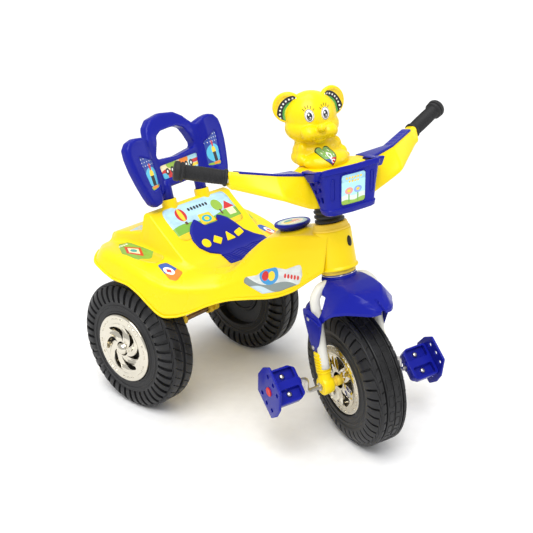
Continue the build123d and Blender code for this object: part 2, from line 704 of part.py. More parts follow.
def make_grip(sign):
    """Soft grip with flanges at both ends, pushed on the bar."""
    inner = Vector(sign * GRIP_IN.X, GRIP_IN.Y, GRIP_IN.Z)
    outer = Vector(sign * GRIP_END.X, GRIP_END.Y, GRIP_END.Z)
    direction = outer - inner
    length = direction.length
    plane = Plane(origin=inner, z_dir=direction)
    grip = Pos(0, 0, GRIP_GAP) * Cylinder(12, length + 6 - GRIP_GAP, align=BOTTOM)
    grip += Pos(0, 0, GRIP_GAP) * Cylinder(13.5, 5, align=BOTTOM)
    grip += Pos(0, 0, length - 6) * Cylinder(15, 12, align=BOTTOM)
    grip -= Pos(0, 0, -5) * Cylinder(BAR_R, length + 5, align=BOTTOM)
    return plane * grip


TOP_PLATE_X = (63.0, 108.0, 158.0)
TOP_PLATE_SHARE = (0.08, 0.92)
TOP_PLATE_T = 3.5


def bar_top(x, share):
    """Point (y, z) on the cover's top: share runs from its front edge to its rear edge."""
    for before, after in zip(BAR_SECTIONS, BAR_SECTIONS[1:]):
        if before[0] <= x <= after[0]:
            t = (x - before[0]) / (after[0] - before[0])
            front, rear = ([a + (b - a) * t for a, b in zip(before[k], after[k])] for k in (2, 3))
            return [a + (b - a) * share for a, b in zip(front, rear)]


def make_wing_cover(sign):
    """Blue top plate on one wing, from beside the figure almost to the tip."""
    faces = []
    for x in TOP_PLATE_X:
        (front, front_z), (rear, rear_z) = (bar_top(x, share) for share in TOP_PLATE_SHARE)
        corners = ((front, front_z + 0.3), (rear, rear_z + 0.3),
                   (rear, rear_z + 0.3 + TOP_PLATE_T), (front, front_z + 0.3 + TOP_PLATE_T))
        faces.append(face_from([(sign * x, y, z) for y, z in corners]))
    return loft(faces, ruled=True)


# ---- figure and basket ----
FIGURE_BASE_Z = 503.2
FIGURE_Y = -97.0


def ellipsoid(radii, centre):
    return Pos(*centre) * scale(Sphere(1), by=tuple(radii))


FIGURE_WALL = 3.0
FIGURE_LOBES = [    # radii, then centre relative to (0, FIGURE_Y, 0)
    ((51, 35, 44), (0, 0, 516)),
    ((44, 40, 41), (0, 11, 566)),
    ((26, 20, 17), (0, -22, 552)),
    ((46, 34, 20), (0, -25, 508)),
]


def figure_lobes(shrink):
    """Torso, head, snout and belly, each smaller by the wall when it is the inside."""
    lobes = []
    for radii, (x, y, z) in FIGURE_LOBES:
        lobes.append(ellipsoid([r - shrink for r in radii], (x, FIGURE_Y + y, z)))
    return lobes


def make_bear_figure():
    """Hollow moulded seated bear that stands on the middle of the handlebar cover."""
    torso, head, snout, belly = figure_lobes(0)
    below = Pos(0, FIGURE_Y, FIGURE_BASE_Z - 100) * Box(200, 200, 200)
    figure = (torso + belly - below) + head + snout
    figure += ellipsoid((7, 6, 6), (0, FIGURE_Y - 40, 562))
    for sign in (-1, 1):
        figure += Pos(sign * 41, FIGURE_Y + 22, 586) * Rot(80, 0, sign * 14) * Cylinder(23, 11)
        figure += ellipsoid((16, 14, 15), (sign * 14, FIGURE_Y - 22, 553))
    for inside in figure_lobes(FIGURE_WALL):
        figure -= inside
    return figure


BASKET_WALL = 2.5
BASKET = [  # at the front: z, y, half width; at the rear: z, y, half width
    (441, -205, 44, 441, -184, 48),
    (520, -209, 50, 503, -170, 60),
]


def basket_outline(row, inset, lift=0.0):
    front_z, front, half_front, rear_z, rear, half_rear = row
    return face_from([(-half_front + inset, front + inset, front_z + lift),
                      (half_front - inset, front + inset, front_z + lift),
                      (half_rear - inset, rear - inset, rear_z + lift),
                      (-half_rear + inset, rear - inset, rear_z + lift)])


def make_basket():
    """Tapered tray hooked on the front of the handlebar cover, its rim falling to the rear."""
    low, high = BASKET
    basket = loft([basket_outline(low, 0), basket_outline(high, 0)], ruled=True)
    basket -= loft([basket_outline(low, BASKET_WALL, 3.0), basket_outline(high, BASKET_WALL, 0.5)],
                   ruled=True)
    for sign in (-1, 1):
        for row in (462, 478):
            basket -= Pos(sign * 55, -193, row) * Box(30, 4, 9)
        basket -= basket_screw(sign, 1.9, 12)
    return basket


def basket_screw(sign, radius, length):
    """Shank of one screw that holds the basket on the cover, pointing backward."""
    return Pos(sign * 30, -177.5, 488) * Rot(-90, 0, 0) * Cylinder(radius, length, align=BOTTOM)


def make_basket_screws():
    screws = []
    for sign in (-1, 1):
        head = Pos(sign * 30, -178.6, 488) * Rot(90, 0, 0) * Cylinder(3.6, 2.2)
        screws.append(head + basket_screw(sign, 1.8, 10))
    return Compound(screws)


# ---- write every sub-part ----
save("body_shell", make_body_shell())
save("seat_insert", make_seat_insert())
save("tank_cap", make_tank_cap())
save("backrest", make_backrest())
save("backrest_screws", make_backrest_screws())
save("head_plug", make_head_plug())
save("head_bush_upper", make_bush(26, HEAD_HIGH, HEAD_HIGH + 10.5, HEAD_HIGH - 22, HEAD_HIGH))
save("head_bush_lower", make_bush(25, HEAD_LOW - 7.6, HEAD_LOW, HEAD_LOW, HEAD_LOW + 22))
save("axle_hanger", make_axle_hanger())
save("hanger_screws", make_hanger_screws())
save("rear_axle", make_rear_axle())
save("axle_spacers", make_axle_spacers())
save("axle_lock_caps", make_lock_caps())

save_steered("fork", make_fork())
save_steered("mudguard", make_mudguard())
save_steered("mudguard_screws", make_mudguard_screws())
save_steered("steering_ring", make_steering_ring())
save_steered("steering_tube", make_steering_tube())
save_steered("stem_collar", make_stem_collar())
save_steered("handlebar_cover", make_handlebar_cover())
save_steered("handlebar_tube", make_handlebar_tube())
save_steered("bear_figure", make_bear_figure())
save_steered("basket", make_basket())
save_steered("basket_screws", make_basket_screws())
save_steered("front_wheel", make_front_wheel())
save_steered("crank_axle", make_crank_axle())
save_steered("hub_spacers", make_hub_spacers())
save_steered("axle_rings", make_axle_rings())

for name, sign in SIDES.items():
    save(f"rear_wheel_{name}", make_rear_wheel(sign))
    save(f"rear_hubcap_{name}", make_rear_hubcap(sign))
    save(f"rear_bushes_{name}", make_rear_bushes(sign))
    save_steered(f"knuckle_{name}", make_knuckle(sign))
    save_steered(f"front_hubcap_{name}", make_front_hubcap(sign))
    save_steered(f"pedal_{name}", make_pedal(sign))
    save_steered(f"pedal_screws_{name}", make_pedal_screws(sign))
    save_steered(f"pedal_disc_{name}", make_pedal_disc(sign))
    save_steered(f"grip_{name}", make_grip(sign))
    save_steered(f"wing_cover_{name}", make_wing_cover(sign))
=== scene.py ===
import json
import math
from bisect import bisect_right

import bmesh
import bpy
from mathutils import Matrix, Vector
from mathutils.bvhtree import BVHTree


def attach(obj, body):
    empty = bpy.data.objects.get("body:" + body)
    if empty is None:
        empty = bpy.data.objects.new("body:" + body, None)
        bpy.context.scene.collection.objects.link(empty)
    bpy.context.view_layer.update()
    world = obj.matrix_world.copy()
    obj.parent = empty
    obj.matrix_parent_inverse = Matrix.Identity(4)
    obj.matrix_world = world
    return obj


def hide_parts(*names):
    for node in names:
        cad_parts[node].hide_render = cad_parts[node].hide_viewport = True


# Looks of the children's tricycle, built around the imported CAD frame.
# Shapes are written in millimetres in the row frame: +X is the rider's left, -Y is forward and
# +Z is up. Steered pieces are written with the handlebar straight and placed by STEERED.

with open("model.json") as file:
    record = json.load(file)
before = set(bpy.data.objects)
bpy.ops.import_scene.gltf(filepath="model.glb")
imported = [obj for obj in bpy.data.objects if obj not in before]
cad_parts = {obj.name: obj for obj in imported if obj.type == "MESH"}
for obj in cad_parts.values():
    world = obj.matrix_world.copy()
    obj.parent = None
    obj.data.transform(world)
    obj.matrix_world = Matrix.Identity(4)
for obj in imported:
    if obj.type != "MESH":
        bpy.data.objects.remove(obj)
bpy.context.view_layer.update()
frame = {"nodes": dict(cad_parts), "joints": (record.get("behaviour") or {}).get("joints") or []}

MM = 0.001
SIDES = {"right": -1, "left": 1}
JOINTS = {joint["name"]: joint for joint in frame["joints"]}

AXIS_LOW = Vector(JOINTS["steering_turn"]["pos_m"])
AXIS_DIR = Vector(JOINTS["steering_turn"]["axis"])
STEER_REST = math.radians(-23.0)
STEERED = (Matrix.Translation(AXIS_LOW) @ Matrix.Rotation(STEER_REST, 4, AXIS_DIR)
           @ Matrix.Translation(-AXIS_LOW))
FRONT_HUB = Vector((0.0, -192.0, AXIS_LOW.z / MM))
REAR_HUB = Vector(JOINTS["rear_wheel_spin_left"]["pos_m"]) / MM
FIXED = Matrix.Identity(4)


# ---- curves and sections ----
def monotone(xs, ys):
    """Monotone cubic interpolation through the points, as a function."""
    steps = [b - a for a, b in zip(xs, xs[1:])]
    slopes = [(b - a) / h for a, b, h in zip(ys, ys[1:], steps)]
    tangents = [slopes[0]]
    for (s0, s1), (h0, h1) in zip(zip(slopes, slopes[1:]), zip(steps, steps[1:])):
        if s0 * s1 <= 0:
            tangents.append(0.0)
        else:
            w0, w1 = 2 * h1 + h0, h1 + 2 * h0
            tangents.append((w0 + w1) / (w0 / s0 + w1 / s1))
    tangents.append(slopes[-1])

    def value(x):
        x = min(max(x, xs[0]), xs[-1])
        index = min(bisect_right(xs, x), len(xs) - 1) - 1
        step = steps[index]
        t = (x - xs[index]) / step
        return (ys[index] * (1 + 2 * t) * (1 - t) ** 2 + tangents[index] * step * t * (1 - t) ** 2
                + ys[index + 1] * t * t * (3 - 2 * t)
                + tangents[index + 1] * step * t * t * (t - 1))
    return value


def rounded(points, radii, arc_steps, line_steps, closed=False):
    """Points along a polyline with its inner corners rounded, the same count for any shape."""
    points = [Vector(p) for p in points]
    count = len(points)
    corners = []
    for index in range(count):
        if not closed and index in (0, count - 1):
            corners.append([points[index]])
            continue
        before, here, after = points[index - 1], points[index], points[(index + 1) % count]
        to_before, to_after = before - here, after - here
        turn = math.pi - to_before.angle(to_after, math.pi)
        reach = radii[index] * math.tan(turn / 2) if turn < 3.1 else 0.0
        reach = min(reach, 0.46 * to_before.length, 0.46 * to_after.length)
        start = here + to_before.normalized() * reach
        end = here + to_after.normalized() * reach
        arc = []
        for step in range(arc_steps + 1):
            t = step / arc_steps
            arc.append(start * (1 - t) ** 2 + here * 2 * t * (1 - t) + end * t * t)
        corners.append(arc)
    path = []
    pairs = list(zip(corners, corners[1:])) + ([(corners[-1], corners[0])] if closed else [])
    for first, second in pairs:
        path.extend(first)
        for step in range(1, line_steps):
            path.append(first[-1].lerp(second[0], step / line_steps))
    if not closed:
        path.extend(corners[-1])
    return path


# ---- meshes ----
def add_mesh(name, verts, faces, material, place=FIXED, flat=False):
    """A mesh object from points in millimetres."""
    mesh = bpy.data.meshes.new(name)
    mesh.from_pydata([Vector(v) * MM for v in verts], [], faces)
    mesh.validate()
    obj = bpy.data.objects.new(name, mesh)
    bpy.context.scene.collection.objects.link(obj)
    if not flat:
        mesh.shade_smooth()
    mesh.materials.append(material)
    mesh.transform(place)
    return obj


def grid_faces(rows, columns, wrap_rows=False, wrap_columns=False):
    """Quads of a grid of rows by columns, closed on itself where wrapped."""
    faces = []
    for i in range(rows if wrap_rows else rows - 1):
        for j in range(columns if wrap_columns else columns - 1):
            k, m = (i + 1) % rows, (j + 1) % columns
            faces.append((i * columns + j, i * columns + m, k * columns + m, k * columns + j))
    return faces


def grid(name, rows, material, place=FIXED, wrap_rows=False, wrap_columns=False, caps=False):
    """A quad mesh through rows of points."""
    columns = len(rows[0])
    faces = grid_faces(len(rows), columns, wrap_rows, wrap_columns)
    if caps:
        last = (len(rows) - 1) * columns
        faces.append(tuple(reversed(range(columns))))
        faces.append(tuple(range(last, last + columns)))
    obj = add_mesh(name, [p for row in rows for p in row], faces, material, place)
    fix_normals(obj)
    return obj


def fix_normals(obj):
    """Point every face outward."""
    work = bmesh.new()
    work.from_mesh(obj.data)
    bmesh.ops.recalc_face_normals(work, faces=work.faces)
    work.to_mesh(obj.data)
    work.free()


def basis(direction):
    """Rotation whose Z is the direction."""
    return Vector(direction).to_track_quat("Z", "Y").to_matrix()


def lathe(name, profile, origin, direction, material, place=FIXED, segments=96):
    """Solid of revolution: profile points are (radius, distance along the direction)."""
    turn = basis(direction)
    origin = Vector(origin)
    rows = []
    for index in range(segments):
        angle = 2 * math.pi * index / segments
        rows.append([origin + turn @ Vector((r * math.cos(angle), r * math.sin(angle), s))
                     for r, s in profile])
    closed = (Vector(profile[0]) - Vector(profile[-1])).length < 1e-6
    if closed:
        rows = [row[:-1] for row in rows]
    return grid(name, rows, material, place, wrap_rows=True, wrap_columns=closed)


def tube(name, path, radius, material, place=FIXED, segments=16, closed=False):
    """Round tube along a path, with its ends closed."""
    path = [Vector(p) for p in path]
    rows = []
    side = None
    count = len(path)
    for index, point in enumerate(path):
        ahead = path[(index + 1) % count] if closed else path[min(index + 1, count - 1)]
        behind = path[index - 1] if closed or index else path[0]
        along = (ahead - behind).normalized()
        if side is None:
            side = along.orthogonal().normalized()
        side = (side - along * side.dot(along)).normalized()
        other = along.cross(side)
        size = radius(index / (count - 1)) if callable(radius) else radius
        rows.append([point + (side * math.cos(a) + other * math.sin(a)) * size
                     for a in (2 * math.pi * k / segments for k in range(segments))])
    return grid(name, rows, material, place, wrap_rows=closed, wrap_columns=True, caps=not closed)


def join(objects, name):
    """Join the objects into the first one."""
    with bpy.context.temp_override(active_object=objects[0], object=objects[0],
                                   selected_editable_objects=objects,
                                   selected_objects=objects):
        bpy.ops.object.join()
    objects[0].name = name
    objects[0].data.name = name
    return objects[0]


def smooth_by_angle(obj, degrees=35):
    """Keep edges sharper than the angle crisp."""
    work = bmesh.new()
    work.from_mesh(obj.data)
    limit = math.radians(degrees)
    for edge in work.edges:
        edge.smooth = len(edge.link_faces) != 2 or edge.calc_face_angle(0.0) < limit
    work.to_mesh(obj.data)
    work.free()
    return obj


def modify(obj, kind, **settings):
    """Add a modifier and apply it to the mesh."""
    modifier = obj.modifiers.new(kind, kind)
    for key, value in settings.items():
        setattr(modifier, key, value)
    graph = bpy.context.evaluated_depsgraph_get()
    graph.update()
    made = bpy.data.meshes.new_from_object(obj.evaluated_get(graph), depsgraph=graph)
    obj.modifiers.remove(modifier)
    old, name = obj.data, obj.data.name
    obj.data = made
    bpy.data.meshes.remove(old)
    made.name = name
    return obj


def cut(obj, tool):
    """Subtract a closed mesh and throw the tool away."""
    modify(obj, "BOOLEAN", operation="DIFFERENCE", object=tool, solver="MANIFOLD")
    bpy.data.objects.remove(tool)
    return obj


def prism(name, outline, low, high, material, place=FIXED, to_space=None):
    """Closed prism: outline points (a, b), extruded along c from low to high; to_space maps
    (a, b, c) to millimetres."""
    to_space = to_space or (lambda a, b, c: (a, b, c))
    rows = [[to_space(a, b, c) for a, b in outline] for c in (low, high)]
    return grid(name, rows, material, place, wrap_columns=True, caps=True)


def soft_prism(name, outline, low, high, edge, material, place=FIXED, to_space=None, steps=4):
    """Prism with rounded rims: the outline is inset along its normals near both faces."""
    to_space = to_space or (lambda a, b, c: (a, b, c))
    points = [Vector(p) for p in outline]
    count = len(points)
    area = sum(points[i - 1].x * points[i].y - points[i].x * points[i - 1].y
               for i in range(count))
    sign = 1 if area > 0 else -1
    normals = []
    for index in range(count):
        along = (points[(index + 1) % count] - points[index - 1]).normalized()
        normals.append(Vector((-along.y, along.x)) * sign)
    rows = []
    stages = [(low, k) for k in range(steps + 1)] + [(high, k) for k in range(steps, -1, -1)]
    for level, k in stages:
        angle = math.pi / 2 * k / steps
        inset = edge * (1 - math.sin(angle))
        shift = edge * (1 - math.cos(angle))
        c = level + shift if level == low else level - shift
        rows.append([to_space(*(p + n * inset), c) for p, n in zip(points, normals)])
    return grid(name, rows, material, place, wrap_columns=True, caps=True)


def place_piece(obj, body, slot, *nodes):
    """Ride on a body and stand for CAD nodes, which are hidden; the slot argument is not used."""
    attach(obj, body)
    if nodes:
        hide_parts(*nodes)
    return obj


# ---- materials ----
def new_material(name):
    """A node material, its nodes and its links."""
    material = bpy.data.materials.new(name)
    material.use_nodes = True
    return material, material.node_tree.nodes, material.node_tree.links


def surface_detail(material, scale, bump, distance=0.0003, detail=4.0):
    """Noise in object space that drives the bump. Returns the noise node."""
    nodes, links = material.node_tree.nodes, material.node_tree.links
    shader = nodes["Principled BSDF"]
    coords = nodes.new("ShaderNodeTexCoord")
    noise = nodes.new("ShaderNodeTexNoise")
    noise.inputs["Scale"].default_value = scale
    noise.inputs["Detail"].default_value = detail
    relief = nodes.new("ShaderNodeBump")
    relief.inputs["Strength"].default_value = bump
    relief.inputs["Distance"].default_value = distance
    links.new(coords.outputs["Object"], noise.inputs["Vector"])
    links.new(noise.outputs["Fac"], relief.inputs["Height"])
    links.new(relief.outputs["Normal"], shader.inputs["Normal"])
    return noise


def ramp(material, source, stops):
    """Colour ramp on a value output; stops are (position, colour)."""
    nodes, links = material.node_tree.nodes, material.node_tree.links
    node = nodes.new("ShaderNodeValToRGB")
    elements = node.color_ramp.elements
    while len(elements) < len(stops):
        elements.new(0.5)
    for element, (position, colour) in zip(elements, stops):
        element.position = position
        element.color = (*colour, 1.0)
    links.new(source, node.inputs["Fac"])
    return node


def shade(colour, factor):
    """The colour made darker or lighter, never above 1."""
    return tuple(min(1.0, channel * factor) for channel in colour)


def moulded(name, colour, roughness=0.26, spread=0.05, coat=0.0, blotch=9.0, bump=0.12,
            metallic=0.0, specular=0.35):
    """Moulded plastic: broad colour drift, scuffed roughness and a faint orange-peel relief."""
    material, nodes, links = new_material(name)
    shader = nodes["Principled BSDF"]
    shader.inputs["Metallic"].default_value = metallic
    shader.inputs["Specular IOR Level"].default_value = specular
    shader.inputs["Coat Weight"].default_value = coat
    shader.inputs["Coat Roughness"].default_value = 0.12
    surface_detail(material, 420.0, bump)
    drift = nodes.new("ShaderNodeTexNoise")
    drift.inputs["Scale"].default_value = blotch
    drift.inputs["Detail"].default_value = 6.0
    coords = next(node for node in nodes if node.type == "TEX_COORD")
    links.new(coords.outputs["Object"], drift.inputs["Vector"])
    tone = ramp(material, drift.outputs["Fac"],
                [(0.3, shade(colour, 1 - spread)), (0.7, shade(colour, 1 + spread))])
    links.new(tone.outputs["Color"], shader.inputs["Base Color"])
    scuff = nodes.new("ShaderNodeMapRange")
    scuff.inputs["To Min"].default_value = roughness * 0.8
    scuff.inputs["To Max"].default_value = roughness * 1.35
    links.new(drift.outputs["Fac"], scuff.inputs["Value"])
    links.new(scuff.outputs["Result"], shader.inputs["Roughness"])
    return material


YELLOW = moulded("yellow_plastic", (0.93, 0.68, 0.003), roughness=0.27, spread=0.02, specular=0.3)
PALE_YELLOW = moulded("pale_yellow_plastic", (0.93, 0.66, 0.06), roughness=0.42, coat=0.1)
BLUE = moulded("blue_plastic", (0.008, 0.013, 0.29), roughness=0.22, spread=0.06, specular=0.16)
SEAT_BLUE = moulded("seat_blue_plastic", (0.010, 0.014, 0.27), roughness=0.34, spread=0.07,
                    specular=0.15)
BLACK = moulded("black_plastic", (0.012, 0.012, 0.012), roughness=0.35, spread=0.3)
TYRE = moulded("tyre_plastic", (0.014, 0.014, 0.015), roughness=0.4, spread=0.35, specular=0.3,
               blotch=30.0, bump=0.4)
GRIP = moulded("grip_rubber", (0.014, 0.014, 0.015), roughness=0.55, spread=0.3,
               blotch=40.0, bump=0.5)
RED = moulded("red_plastic", (0.62, 0.015, 0.012), roughness=0.3)
FORK_WHITE = moulded("white_paint", (0.74, 0.73, 0.66), roughness=0.3, spread=0.03, bump=0.05)
HANGER_YELLOW = moulded("hanger_paint", (0.82, 0.55, 0.02), roughness=0.4, bump=0.1)
CHROME = moulded("chromed_plastic", (0.70, 0.66, 0.56), roughness=0.13, spread=0.06,
                 bump=0.03, metallic=1.0)
STEEL = moulded("zinc_steel", (0.55, 0.53, 0.50), roughness=0.3, spread=0.15,
                blotch=60.0, bump=0.2, metallic=1.0)
# Near-black for the floors of the hub caps' openings: the black wheel seen behind them, made
# darker still as painted shade inside the openings.
OPENING_BLACK_AND_SHADE = moulded("opening_black_and_shade", (0.004, 0.004, 0.004), roughness=0.7, spread=0.2)
BARE_BROWN = moulded("oiled_rod", (0.20, 0.12, 0.06), roughness=0.35, spread=0.3,
                     blotch=50.0, metallic=0.8)


# ---- body shell ----
WALL = 3.0
# y, then (x, z) of the top edge, the foot of the tank or seat wedge, the fender's outer shoulder
# and the skirt's lower edge, and the rounding of the first three, then the top centre's z.
BODY = [
    (-150, (30, 383), (34, 360), (37, 338), (40, 322), (6, 20, 20), 384),
    (-125, (35, 379), (40, 356), (45, 325), (49, 300), (6, 20, 20), 381),
    (-97, (41, 374), (48, 350), (55, 315), (60, 276), (6, 22, 24), 376),
    (-67, (46, 366), (57, 338), (67, 300), (75, 262), (7, 26, 28), 370),
    (-27, (46, 351), (64, 322), (82, 292), (93, 254), (8, 30, 30), 359),
    (3, (49, 324), (76, 300), (97, 280), (109, 248), (12, 34, 30), 331),
    (33, (60, 291), (92, 284), (122, 268), (131, 236), (16, 30, 26), 294),
    (50, (72, 286), (100, 282), (138, 268), (145, 226), (16, 26, 24), 286),
    (63, (82, 284), (106, 281), (150, 268), (157, 219), (14, 22, 22), 284),
    (80, (90, 284), (109, 281), (162, 269), (170, 214), (12, 20, 20), 284),
    (93, (97, 285), (111, 281), (170, 270), (178, 213), (10, 18, 18), 285),
    (103, (101, 289), (112, 283), (173, 272), (182, 217), (8, 18, 18), 289),
    (118, (105, 299), (113, 286), (176, 275), (186, 228), (7, 16, 18), 300),
    (148, (107, 322), (115, 290), (179, 284), (190, 249), (6, 12, 18), 323),
    (178, (107, 345), (116, 294), (180, 291), (190, 257), (6, 12, 18), 346),
    (190, (107, 355), (116, 296), (181, 293), (190, 257), (6, 12, 18), 356),
    (196, (107, 360), (116, 297), (181, 294), (190, 257), (6, 12, 18), 361),
    (208, (107, 361), (116, 298), (181, 296), (190, 257), (6, 12, 18), 362),
    (211, (108, 359), (116, 298), (181, 296), (190, 257), (6, 12, 18), 360),
    (213, (112, 331), (117, 298), (181, 296), (190, 257), (6, 12, 18), 332),
    (216, (113, 327), (117, 298), (181, 297), (190, 258), (7, 12, 18), 328),
    (235, (114, 322), (118, 298), (180, 298), (190, 264), (8, 12, 20), 323),
    (248, (114, 319), (118, 297), (177, 298), (189, 269), (8, 12, 22), 320),
    (265, (114, 315), (118, 295), (168, 296), (184, 272), (8, 12, 24), 316),
    (280, (113, 311), (118, 292), (157, 292), (172, 274), (8, 12, 24), 312),
    (292, (110, 307), (116, 290), (146, 289), (158, 275), (8, 12, 20), 308),
    (300, (107, 303), (113, 288), (136, 286), (145, 276), (8, 12, 16), 304),
]
ARC_STEPS = 7
LINE_STEPS = 5


def body_parameters():
    """Smooth functions of y for every value of the BODY table."""
    ys = [row[0] for row in BODY]
    columns = []
    for index in range(1, 5):
        columns.append([monotone(ys, [row[index][axis] for row in BODY]) for axis in (0, 1)])
    radii = [monotone(ys, [row[5][index] for row in BODY]) for index in range(3)]
    return columns, radii, monotone(ys, [row[6] for row in BODY])


BODY_COLUMNS, BODY_RADII, BODY_TOP = body_parameters()


def body_section(y, inset=0.0):
    """One cross-section from the right skirt's edge over the top to the left one."""
    corners = [(0.0, y, BODY_TOP(y))]
    corners += [(x(y), y, z(y)) for x, z in BODY_COLUMNS]
    radii = [0.0] + [radius(y) for radius in BODY_RADII] + [0.0]
    half = rounded(corners, radii, ARC_STEPS, LINE_STEPS)
    left = [Vector((max(p.x - inset, 0.0), p.y, p.z - inset)) for p in half]
    right = [Vector((-p.x, p.y, p.z)) for p in reversed(left[1:])]
    return right + left


def body_stations():
    """y of the cross-sections, closer together where the shape turns."""
    stations = []
    y = BODY[0][0]
    while y < BODY[-1][0]:
        stations.append(y)
        near_ridge = 186 < y < 220
        near_pan = 20 < y < 125
        y += 1.0 if near_ridge else (2.5 if near_pan else 4.0)
    return stations + [BODY[-1][0]]


def make_body_shell():
    rows = [body_section(y) for y in body_stations()]
    end = BODY[-1][0]
    last = rows[-1]
    edge_z = last[0].z
    for step in range(1, 6):
        angle = math.pi / 2 * step / 5
        inset = 7 * (1 - math.cos(angle))
        row = []
        for p in last:
            scale = 1 - inset / 130
            row.append(Vector((p.x * scale, end + 7 * math.sin(angle),
                               max(p.z - inset, edge_z - 4))))
        rows.append(row)
    closing = rows[-1]
    for drop in (0.25, 0.5, 0.75, 1.0):
        rows.append([Vector((p.x, p.y + drop, p.z + (edge_z - 6 - p.z) * drop)) for p in closing])
    shell = grid("body_shell_moulding", rows, YELLOW)
    if shell.data.polygons[len(shell.data.polygons) // 2].normal.z < 0:
        shell.data.flip_normals()
    modify(shell, "SOLIDIFY", thickness=WALL * MM, offset=-1.0)
    return shell


def skirt_path(sign):
    """Lower edge of one side of the body."""
    path = []
    for y in body_stations():
        x, z = BODY_COLUMNS[3]
        path.append(Vector((sign * (x(y) + 0.2), y, z(y) + 1.2)))
    return path


def make_skirt_bead():
    """Rolled bead along both lower edges of the body."""
    beads = [tube(f"bead_{side}", skirt_path(sign), 2.3, YELLOW, segments=12)
             for side, sign in SIDES.items()]
    return join(beads, "skirt_bead")


HEAD_LOW = 200.0
HEAD_HIGH = 267.0
HEAD_R = 33.0
HEAD_BORE_R = 24.0


def axis_point(height, x=0.0, back=0.0):
    """Point in millimetres at a height along the steering axis, x to the left and back behind."""
    across = Vector((0.0, AXIS_DIR.z, -AXIS_DIR.y))
    return AXIS_LOW / MM + AXIS_DIR * height + Vector((x, 0, 0)) + across * back


def on_axis(name, profile, material, place=FIXED, segments=96):
    """Lathe about the steering axis: profile points are (radius, height along the axis)."""
    return lathe(name, profile, AXIS_LOW / MM, AXIS_DIR, material, place, segments)


def fillet_profile(points, radius, closed=True, steps=4):
    """Round every corner of an (r, s) profile."""
    flat = [(r, s, 0.0) for r, s in points]
    path = rounded(flat, [radius] * len(flat), steps, 1, closed=closed)
    path = [(p.x, p.y) for p in path]
    return path + path[:1] if closed else path


def make_head_column():
    """Upright column in the nose of the body that carries the steering head."""
    profile = [(HEAD_BORE_R, HEAD_LOW + 2), (HEAD_R - 1, HEAD_LOW), (HEAD_R + 2.5, HEAD_LOW),
               (HEAD_R + 2.5, HEAD_LOW + 3), (HEAD_R, HEAD_LOW + 6), (HEAD_R, HEAD_HIGH),
               (HEAD_BORE_R + 2, HEAD_HIGH), (HEAD_BORE_R, HEAD_HIGH - 4)]
    return on_axis("head_column", fillet_profile(profile, 2.5), YELLOW)


POST_FOOT = Vector((0.0, 210.0, 367.0))
POST_LEAN = math.radians(15.0)
POST_UP = Vector((0.0, math.sin(POST_LEAN), math.cos(POST_LEAN)))
POST_BACK = Vector((0.0, math.cos(POST_LEAN), -math.sin(POST_LEAN)))
POST_X = 43.8


def back_space(x, s, depth):
    """Point on the leaning backrest: x across, s up the lean and depth behind its centre."""
    return POST_FOOT + Vector((x, 0, 0)) + POST_UP * s + POST_BACK * depth


def make_collars():
    """Two round sockets on the wedge's top that the backrest's posts stand in."""
    profile = [(11.2, -18), (15.2, -18), (14.6, 2), (14.6, 6), (11.2, 6)]
    rings = [lathe(f"collar_{side}", fillet_profile(profile, 1.4),
                   back_space(sign * POST_X, 0, 0), POST_UP, YELLOW, segments=64)
             for side, sign in SIDES.items()]
    return join(rings, "backrest_collars")


body_shell = place_piece(make_body_shell(), "frame", "body_yellow", "body_shell")
for part in (make_skirt_bead(), make_head_column(), make_collars()):
    place_piece(part, "frame", "body_yellow", "body_shell")


def surface_finder(obj):
    """Function that drops a point onto the object's surface and gives (point, normal)."""
    graph = bpy.context.evaluated_depsgraph_get()
    tree = BVHTree.FromObject(obj, graph)

    def drop(start, direction):
        hit, normal, _, _ = tree.ray_cast(Vector(start) * MM, Vector(direction))
        if hit is None:
            return None, None
        return hit / MM, normal
    return drop


drop_on_body = surface_finder(body_shell)


# ---- wheels ----
# Half profile of a tyre from its cap recess to the middle of the tread, as
# (radius, distance from the wheel's middle, lug notch depth, tread cut depth).
SIDEWALL = [
    (66.6, 30.0, 0, 0), (66.6, 33.6, 0, 0), (67.6, 34.8, 0, 0), (70.6, 34.8, 0, 0),
    (71.6, 33.6, 0, 0), (79.0, 33.2, 0, 0), (80.2, 34.4, 0, 0), (82.6, 34.4, 0, 0),
    (83.8, 33.2, 0, 0), (87.6, 33.0, 0, 0), (88.4, 33.2, 0, 0), (89.6, 34.2, 3.4, 0),
    (94.0, 34.5, 4.2, 0), (100.0, 34.3, 4.6, 0), (106.0, 33.4, 4.6, 0), (111.0, 31.6, 4.6, 0),
    (115.0, 29.0, 4.4, 0), (118.0, 26.2, 4.2, 0),
]
REAR_TREAD = [
    (119.6, 24.6, 0, 0), (119.8, 23.4, 0, 0), (122.0, 22.6, 0, 0), (123.2, 21.2, 0, 1.6),
    (123.5, 19.0, 0, 2.2), (123.5, 13.0, 0, 2.2), (123.5, 8.0, 0, 2.2), (123.4, 5.2, 0, 1.6),
    (122.4, 3.8, 0, 0), (118.6, 3.0, 0, 0), (118.0, 1.4, 0, 0), (118.0, 0.0, 0, 0),
]
FRONT_TREAD = [
    (119.8, 24.8, 0, 0), (120.2, 23.4, 0, 0), (123.4, 22.6, 0, 0), (124.6, 21.4, 0, 1.8),
    (124.8, 18.6, 0, 1.8), (124.0, 17.4, 0, 0), (121.4, 16.8, 0, 0), (121.2, 15.4, 0, 0),
    (124.2, 14.6, 0, 0), (124.9, 13.6, 0, 0), (124.9, 12.4, 0, 0), (123.9, 11.8, 0, 0),
    (124.0, 6.0, 0, 0), (124.0, 0.8, 0, 0), (122.6, 0.4, 0, 0), (122.6, 0.0, 0, 0),
]
CAP_SIDE = [(9.0, 27.0, 0, 0), (16.4, 27.0, 0, 0), (17.4, 26.0, 0, 0), (20.0, 22.0, 0, 0),
            (45.0, 21.4, 0, 0), (65.6, 22.0, 0, 0)]
